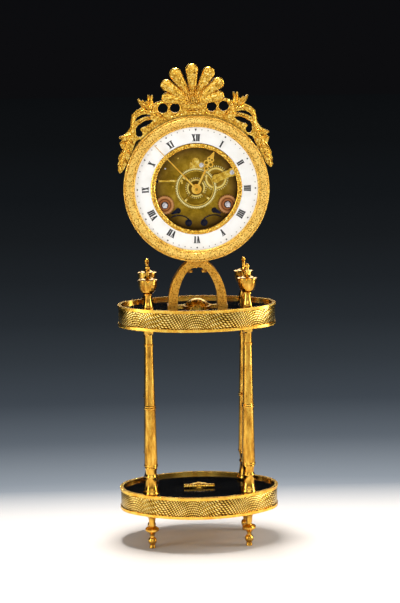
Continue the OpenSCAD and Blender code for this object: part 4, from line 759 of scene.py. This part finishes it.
def makeArchBeads(plan):
    # along the outer edge: up the legs, then round the tall half oval to the drum's seat
    low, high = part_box("arch")
    slabTop, half = low.z / mm, high.x / mm - plan["shoe"]
    edge = plan["edge"]
    top = plan["topShare"] * half - edge
    total = ovalPath(plan["rise"] - edge, half - edge, top, 8)[3]
    oval = ovalPath(plan["rise"] - edge, half - edge, top, int(total / plan["pitch"]))[0]
    u, v = oval[:, 1], oval[:, 0] + plan["leg"] + slabTop
    drum = dialZ - slabTop - plan["rise"] - plan["leg"]
    free = (oval[:, 0] > plan["spring"]) & (np.hypot(u, v - dialZ) > drum + plan["seat"])
    straight = np.arange(plan["shoeTop"], plan["leg"] + plan["spring"], plan["pitch"])
    legs = [np.column_stack([np.full(len(straight), side * (half - edge)), straight + slabTop])
            for side in (-1, 1)]
    path = np.concatenate([np.column_stack([u[free], v[free]])] + legs)
    centres = np.column_stack([path[:, 0], np.full(len(path), low.y / mm), path[:, 1]])
    points, quads = beadRow(centres * mm, plan["bead"] * mm)
    meshPiece("archBeads", points, quads, "burnished")


makeArchBeads(archPlan)
print("bezel and arch dressed")

# Crest: domed tongues with raised rims, ring collars, ribs and leaves over its flat plates.
# Each run is drawn on the right as [right, up, half width] from the dial's centre. A height is
# how far a part stands out, a lift how far its foot lies above the plate.

crestPlan = {
    "root": (0.0, 72.0), "plateRelief": 1.0, "step": 0.7, "fewest": 6, "passes": 4,
    "across": 9, "capStart": 0.06, "capCount": 6, "sunk": 0.9, "underside": 0.9,
    "dome": (0.95, 0.85, 0.6), "rim": (0.8, 0.075), "blade": 0.5, "leafRib": (0.5, 0.28),
    "tongueHeight": 1.5, "tongueStart": (0.2, 2.2), "tongueShare": 0.985, "tongueLift": 0.3,
    "ringHeight": 1.2, "ringHalf": 0.7, "ringAround": 40, "ribHeight": 1.7, "leafHeight": 1.6,
    "plainHeight": 1.9, "stemHeight": 1.5, "stemLift": 1.5, "stems": (6, 9),
    "stem": [[0.9, 72.2, 0.45], [1.15, 78, 0.5], [1.7, 86, 0.15]],
    "tongues": [[0, 99.1, 5.2], [13.7, 96, 5.2], [21.3, 87.2, 5.0], [21.5, 76.7, 4.6]],
    "rings": [[15.3, 68.4, 4.75], [25.4, 68.4, 4.85]],
    "ribs": [
        [[35.2, 65.6, 1.1], [40, 67.2, 1.3], [45, 66.6, 1.4], [49.4, 63.2, 1.4], [50.8, 58.5, 1.3],
         [50.5, 54.4, 1.3], [52.2, 49.4, 1.5]],
        [[52.4, 46.6, 1.3], [55.6, 40, 1.6], [58.6, 33.2, 1.5], [61, 26.4, 1.3], [63.2, 18, 0.7]],
        [[34, 62, 1], [39.6, 60, 1], [43.6, 58.3, 1], [47, 55.6, 0.8]],
        [[9.6, 63.2, 0.8], [17, 61.6, 0.8], [25, 58.9, 0.8], [32, 55.6, 0.8], [38, 51.8, 0.8]],
        [[29.6, 72.4, 1.2], [32, 70, 1.4], [33.6, 66.4, 1.2], [32.8, 62.8, 0.9]]],
    "leaves": [
        [[34.6, 68.4, 1.2], [34.4, 74, 1.3], [34.3, 79.2, 0.4]],
        [[36.2, 68.6, 1.1], [36.8, 74, 1.2], [37, 79.4, 0.4]],
        [[37.6, 68.6, 1.1], [40.4, 72.4, 1.2], [42.6, 75.2, 0.4]],
        [[40, 69, 1.1], [43.4, 73, 1.1], [45.6, 76.7, 0.4]],
        [[53.2, 47.8, 1.3], [57.6, 46.8, 1.2], [62.2, 45.8, 0.5]],
        [[56.2, 42, 1.5], [59.4, 41.6, 1.3], [62, 40.6, 0.6]],
        [[58, 37.4, 1.3], [60, 35.6, 1.1], [62.4, 32, 0.5]],
        [[60.4, 30.4, 1.3], [62.4, 28.8, 1.1], [63.8, 27.4, 0.5]],
        [[61.8, 24.6, 1.2], [63.2, 23.4, 1], [64.6, 22.6, 0.5]],
        [[53.6, 42.6, 1.2], [51.8, 41.2, 0.7], [51.2, 39.4, 0.5]],
        [[56.4, 35.6, 1.2], [54.8, 33, 0.9], [54.2, 30, 0.5]],
        [[59.4, 28, 1.1], [57.8, 26, 0.8], [57.6, 24, 0.5]],
        [[29.6, 64.4, 1.5], [27.6, 61.6, 1.2], [24.4, 60.8, 0.5]],
        [[37, 60.6, 1.2], [40.4, 59.4, 1], [43.4, 58.6, 0.5]]],
    "plain": [
        [[-8.4, 70.9, 0.75], [8.4, 70.9, 0.75]], [[-8.8, 67.2, 0.55], [8.8, 67.2, 0.55]],
        [[-4, 64.9, 1.4], [4, 64.9, 1.4]]]}


def evenRun(run, plan):
    # even stations along a run, its corners rounded by averaging each with its neighbours
    run = np.array(run, float)
    length = np.concatenate([[0], np.cumsum(np.hypot(*np.diff(run[:, :2], axis=0).T))])
    at = np.linspace(0, length[-1], max(plan["fewest"], int(length[-1] / plan["step"])))
    even = np.stack([np.interp(at, length, run[:, k]) for k in range(3)], -1)
    for _ in range(plan["passes"]):
        even[1:-1] = (even[:-2] + 2 * even[1:-1] + even[2:]) / 4
    return even


def reliefRun(run, height, across, base, plan):
    # Raised strip with round ends: a station's points lie across the run at shares "across"
    # of its half width, and stand "height" of their distance from the middle above the base.
    # In an end cap that distance is measured from the end point, so the rim runs round it.
    even = evenRun(run, plan)
    ahead = np.gradient(even[:, :2], axis=0)
    ahead /= np.hypot(*ahead.T)[:, None]
    swing = np.linspace(plan["capStart"], 1, plan["capCount"]) * pi / 2
    caps = []
    for end, sign in ((0, -1), (-1, 1)):
        place = even[end, :2] + sign * ahead[end] * even[end, 2] * np.cos(swing)[:, None]
        caps.append(np.column_stack([place, even[end, 2] * np.sin(swing), np.cos(swing),
                                     np.tile(ahead[end], (len(swing), 1))]))
    body = np.column_stack([even, 0 * even[:, 0], ahead])[1:-1]
    rows = np.concatenate([caps[0], body, caps[1][::-1]])
    aside = np.stack([-rows[:, 5], rows[:, 4]], -1)
    off = rows[:, None, 2] * across[None, :]
    u = rows[:, None, 0] + aside[:, None, 0] * off
    v = rows[:, None, 1] + aside[:, None, 1] * off
    sine = np.sqrt(1 - rows[:, None, 3] ** 2)
    away = np.sqrt(rows[:, None, 3] ** 2 + (across[None, :] * sine) ** 2)
    w = base + height(np.clip(away, 0, 1))
    # three points below an odd number above: the ends close with quads
    low = rows[:, None, 2] * (np.array([1, 0, -1]) * plan["underside"])[None, :]
    u = np.concatenate([u, rows[:, None, 0] + aside[:, None, 0] * low], 1)
    v = np.concatenate([v, rows[:, None, 1] + aside[:, None, 1] * low], 1)
    w = np.concatenate([w, np.full(low.shape, base - plan["sunk"])], 1)
    c, s = cos(crestLean), sin(crestLean)
    points = headPoints(u * c - v * s, u * s + v * c, w).reshape(-1, 3)
    stations, columns = u.shape
    quads = np.concatenate([gridFaces(stations, columns, closeColumns=True),
                            endFan(columns)[:, ::-1], endFan(columns, (stations - 1) * columns)])
    return points, outward(points, quads)


def roundHeight(rise, plan):
    # rod: height = rise sqrt(1 - away squared)
    return lambda away: rise * np.sqrt(1 - away ** 2)


def leafHeight(rise, plan):
    # low round blade, and a bell curve for the sharp rib along its middle
    rib, width = plan["leafRib"]
    return lambda away: rise * (plan["blade"] * np.sqrt(1 - away ** 2)
                                + rib * np.exp(-(away / width) ** 2))


def tongueHeight(rise, plan):
    # dome that ends in a groove, and a bell curve for the rim there
    dome, edge, power = plan["dome"]
    rim, width = plan["rim"]
    return lambda away: rise * (dome * np.clip(1 - (away / edge) ** 2, 0, 1) ** power
                                + rim * np.exp(-((away - edge) / width) ** 2))


def makeCrestRelief(plan):
    # each run as a raised strip, on both sides of the middle, over the plates' front
    front = -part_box("crest_palmette")[0].y / mm - plan["plateRelief"]
    even = np.linspace(-1, 1, plan["across"])
    closer = np.array([0.0, 0.25, 0.5, 0.68, 0.76, 0.82, 0.88, 0.94, 1.0])
    fine = np.concatenate([-closer[:0:-1], closer])
    root = np.array(plan["root"])
    parts = []

    def add(run, shape, rise, across=even, lift=0.0):
        parts.append(reliefRun(run, shape(plan[rise], plan), across, front + lift, plan))

    for side in (1, -1):
        flip = np.array([side, 1, 1])
        for x, y, r in plan["tongues"][0 if side == 1 else 1:]:
            tip = np.array([x * side, y])
            share, half = plan["tongueStart"]
            start = root + share * (tip - root)
            add([[*start, half], [*tip, r * plan["tongueShare"]]], tongueHeight, "tongueHeight",
                fine, plan["tongueLift"])
        for x, y, r in plan["rings"]:
            a = np.linspace(0, 2 * pi, plan["ringAround"])
            add(np.stack([side * (x + r * np.cos(a)), y + r * np.sin(a),
                          plan["ringHalf"] + 0 * a], -1), roundHeight, "ringHeight")
        for run in plan["ribs"]:
            add(np.array(run) * flip, roundHeight, "ribHeight")
        for run in plan["leaves"]:
            add(np.array(run) * flip, leafHeight, "leafHeight")
    for run in plan["plain"]:
        add(run, roundHeight, "plainHeight")
    # bundle of stems that gathers above the collar
    reach, count = plan["stems"]
    for k in np.linspace(-reach, reach, count):
        add([[x * k, y, half] for x, y, half in plan["stem"]], roundHeight, "stemHeight",
            lift=plan["stemLift"])
    points, quads = joinParts(parts)
    meshPiece("crestRelief", points, quads, "chased")


makeCrestRelief(crestPlan)
print("crest chased")

# Flared feet of the columns: the same bronze as the shafts, bolder than the turned solid's.
# Radius and height above the slab, from the slab up, then down inside the shaft.

flarePlan = {"outline": [(6.9, 0.05), (6.9, 2.6), (6.5, 3.3), (5.9, 4.2), (6.2, 5.0), (5.7, 6.0),
                         (5.1, 9.0), (4.75, 12.5), (4.6, 15.5), (5.1, 16.1), (5.3, 17.0),
                         (5.1, 17.9), (4.55, 18.4), (4.6, 20.0), (4.9, 22.5), (5.4, 24.6),
                         (5.75, 26.2), (3.0, 25.4), (2.9, 0.6)],
             "around": 48}


def makeColumnFlares(plan):
    # each outline point turned about its column: x = r cos a, y = r sin a
    r, z = np.array(plan["outline"]).T
    a = np.arange(plan["around"]) * 2 * pi / plan["around"]
    ring = np.stack([r[:, None] * np.cos(a), r[:, None] * np.sin(a),
                     z[:, None] + 0 * a], axis=-1).reshape(-1, 3) * mm
    quads = gridFaces(len(r), len(a), closeRows=True, closeColumns=True)
    parts = []
    for name in ("front_left", "front_right", "back_left", "back_right"):
        low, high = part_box("column_" + name)
        foot = np.array([(low.x + high.x) / 2, (low.y + high.y) / 2, low.z])
        parts.append((ring + foot, outward(ring, quads)))
    points, quads = joinParts(parts)
    meshPiece("columnFlares", points, quads, "aged")


makeColumnFlares(flarePlan)
print("columns footed")

# Floor: pale paper sheet round the clock and in front, darker far behind it. Distances are in
# metres; tones are grey levels by distance.

floorPlan = {"tones": [(0.0, 255), (0.05, 238), (0.1, 208), (0.19, 156), (0.35, 102), (0.54, 70),
                       (0.79, 56), (1.11, 43), (1.55, 34), (2.2, 27), (3.2, 22), (6.0, 17),
                       (14.0, 14)],
             "radius": 14.0, "corners": 96, "squeeze": 0.3, "sheet": "#B6B0AA", "rough": 0.8,
             "grain": ((3, 3), 0.02, 0.2),
             "backFade": (0.02, 0.16), "frontFade": (-0.36, -0.6), "front": 0.9,
             "coolRed": 0.12, "coolBlue": 0.16}


def toneHex(value, plan):
    # grey of the sheet, the bluer the darker it is
    dark = 1 - value / 255
    return "#%02X%02X%02X" % (int(value * (1 - plan["coolRed"] * dark)), value,
                              min(255, int(value * (1 + plan["coolBlue"] * dark))))


def makeFloor(plan):
    # lit white sheet near the clock, which passes into plain tones that darken with distance
    made, tree = newTree("floorSheet")
    lit = addNode(tree, "BsdfPrincipled", {"Normal": dent(tree, *plan["grain"])},
                  Roughness=plan["rough"], Specular_IOR_Level=0.0,
                  Base_Color=linear(plan["sheet"]))
    place = addNode(tree, "TexCoord").outputs["Object"]
    squeezed = addNode(tree, "VectorMath", {0: place, 1: (plan["squeeze"], 1, 0)},
                       operation="MULTIPLY")
    far = addNode(tree, "VectorMath", {0: squeezed}, operation="LENGTH").outputs["Value"]
    behind = addNode(tree, "SeparateXYZ", {0: place}).outputs["Y"]
    # the square root gives the near tones room in the ramp
    share = addNode(tree, "MapRange", {0: far}, From_Max=plan["radius"])
    root = addNode(tree, "Math", {0: share}, operation="SQRT")
    stops = [((d / plan["radius"]) ** 0.5, toneHex(t, plan)) for d, t in plan["tones"]]
    glow = addNode(tree, "Emission", {"Color": addNode(tree, "ValToRGB", {0: root}, stops)})
    start, end = plan["backFade"]
    fade = addNode(tree, "MapRange", {0: behind}, From_Min=start, From_Max=end)
    back = addNode(tree, "MixShader", {0: fade, 1: lit, 2: glow})
    # past the front of the picture the sheet is evenly bright, for the metal to mirror
    bright = addNode(tree, "Emission", Color=linear("#FFFFFF"), Strength=plan["front"])
    start, end = plan["frontFade"]
    ahead = addNode(tree, "MapRange", {0: behind}, From_Min=start, From_Max=end)
    whole = addNode(tree, "MixShader", {0: ahead, 1: back, 2: bright})
    addNode(tree, "OutputMaterial", {0: whole})
    mesh = bpy.data.meshes.new("floor")
    count = plan["corners"]
    a = np.arange(count) * 2 * pi / count
    rim = np.column_stack([np.cos(a), np.sin(a), np.zeros(count)]) * plan["radius"]
    mesh.from_pydata(rim.tolist(), [], [list(range(count))])
    mesh.materials.append(made)
    floor = bpy.data.objects.new("floor", mesh)
    bpy.context.scene.collection.objects.link(floor)


# World, by direction alone: dark behind the clock, where the sheet ends, and a bright room on
# the viewer's side for the metal to mirror

worldPlan = {"sky": [(0.0, "#0D0D0F"), (0.4, "#0A0C0F"), (1.0, "#05080C")], "skyTop": 0.35,
             "room": "#A9A6A0", "turn": (-0.9, 0.1)}


def makeWorld(plan):
    world = bpy.data.worlds.new("studio")
    bpy.context.scene.world = world
    world.use_nodes = True
    tree = world.node_tree
    tree.nodes.clear()
    way = addNode(tree, "SeparateXYZ", {0: addNode(tree, "TexCoord").outputs["Generated"]})
    up = addNode(tree, "MapRange", {0: way.outputs["Z"]}, From_Max=plan["skyTop"])
    sky = addNode(tree, "ValToRGB", {0: up}, plan["sky"])
    front, back = plan["turn"]
    behind = addNode(tree, "MapRange", {0: way.outputs["Y"]}, From_Min=front, From_Max=back)
    seen = addNode(tree, "MixRGB", {0: behind, 1: linear(plan["room"]), 2: sky})
    light = addNode(tree, "Background", {"Color": seen}, Strength=1.0)
    addNode(tree, "OutputWorld", {0: light})


# Lamps, aimed at the middle of the clock: place, width and height in metres, power in watts

lampAim = (0, 0, 0.22)
lampPlans = [
    {"name": "top", "from": (-0.03, 0.0, 1.3), "size": (0.2, 0.2), "power": 38},
    {"name": "left", "from": (-0.95, -0.5, 0.5), "size": (0.35, 1.1), "power": 6},
    {"name": "right", "from": (0.9, -0.1, 0.5), "size": (0.3, 1.1), "power": 10},
    {"name": "front", "from": (0.1, -1.7, 1.0), "size": (1.5, 0.9), "power": 7},
    {"name": "back", "from": (0.2, 1.5, 1.0), "size": (1.2, 0.6), "power": 8}]


def makeLamps(plans, aim):
    for plan in plans:
        data = bpy.data.lights.new(plan["name"] + "Lamp", "AREA")
        data.shape = "RECTANGLE"
        data.size, data.size_y = plan["size"]
        data.energy = plan["power"]
        lamp = bpy.data.objects.new(plan["name"] + "Lamp", data)
        lamp.location = plan["from"]
        way = Vector(aim) - Vector(plan["from"])
        lamp.rotation_euler = way.to_track_quat("-Z", "Y").to_euler()
        bpy.context.scene.collection.objects.link(lamp)


makeFloor(floorPlan)
makeWorld(worldPlan)
makeLamps(lampPlans, lampAim)
bpy.context.scene.view_settings.view_transform = "Standard"
print("stage set")
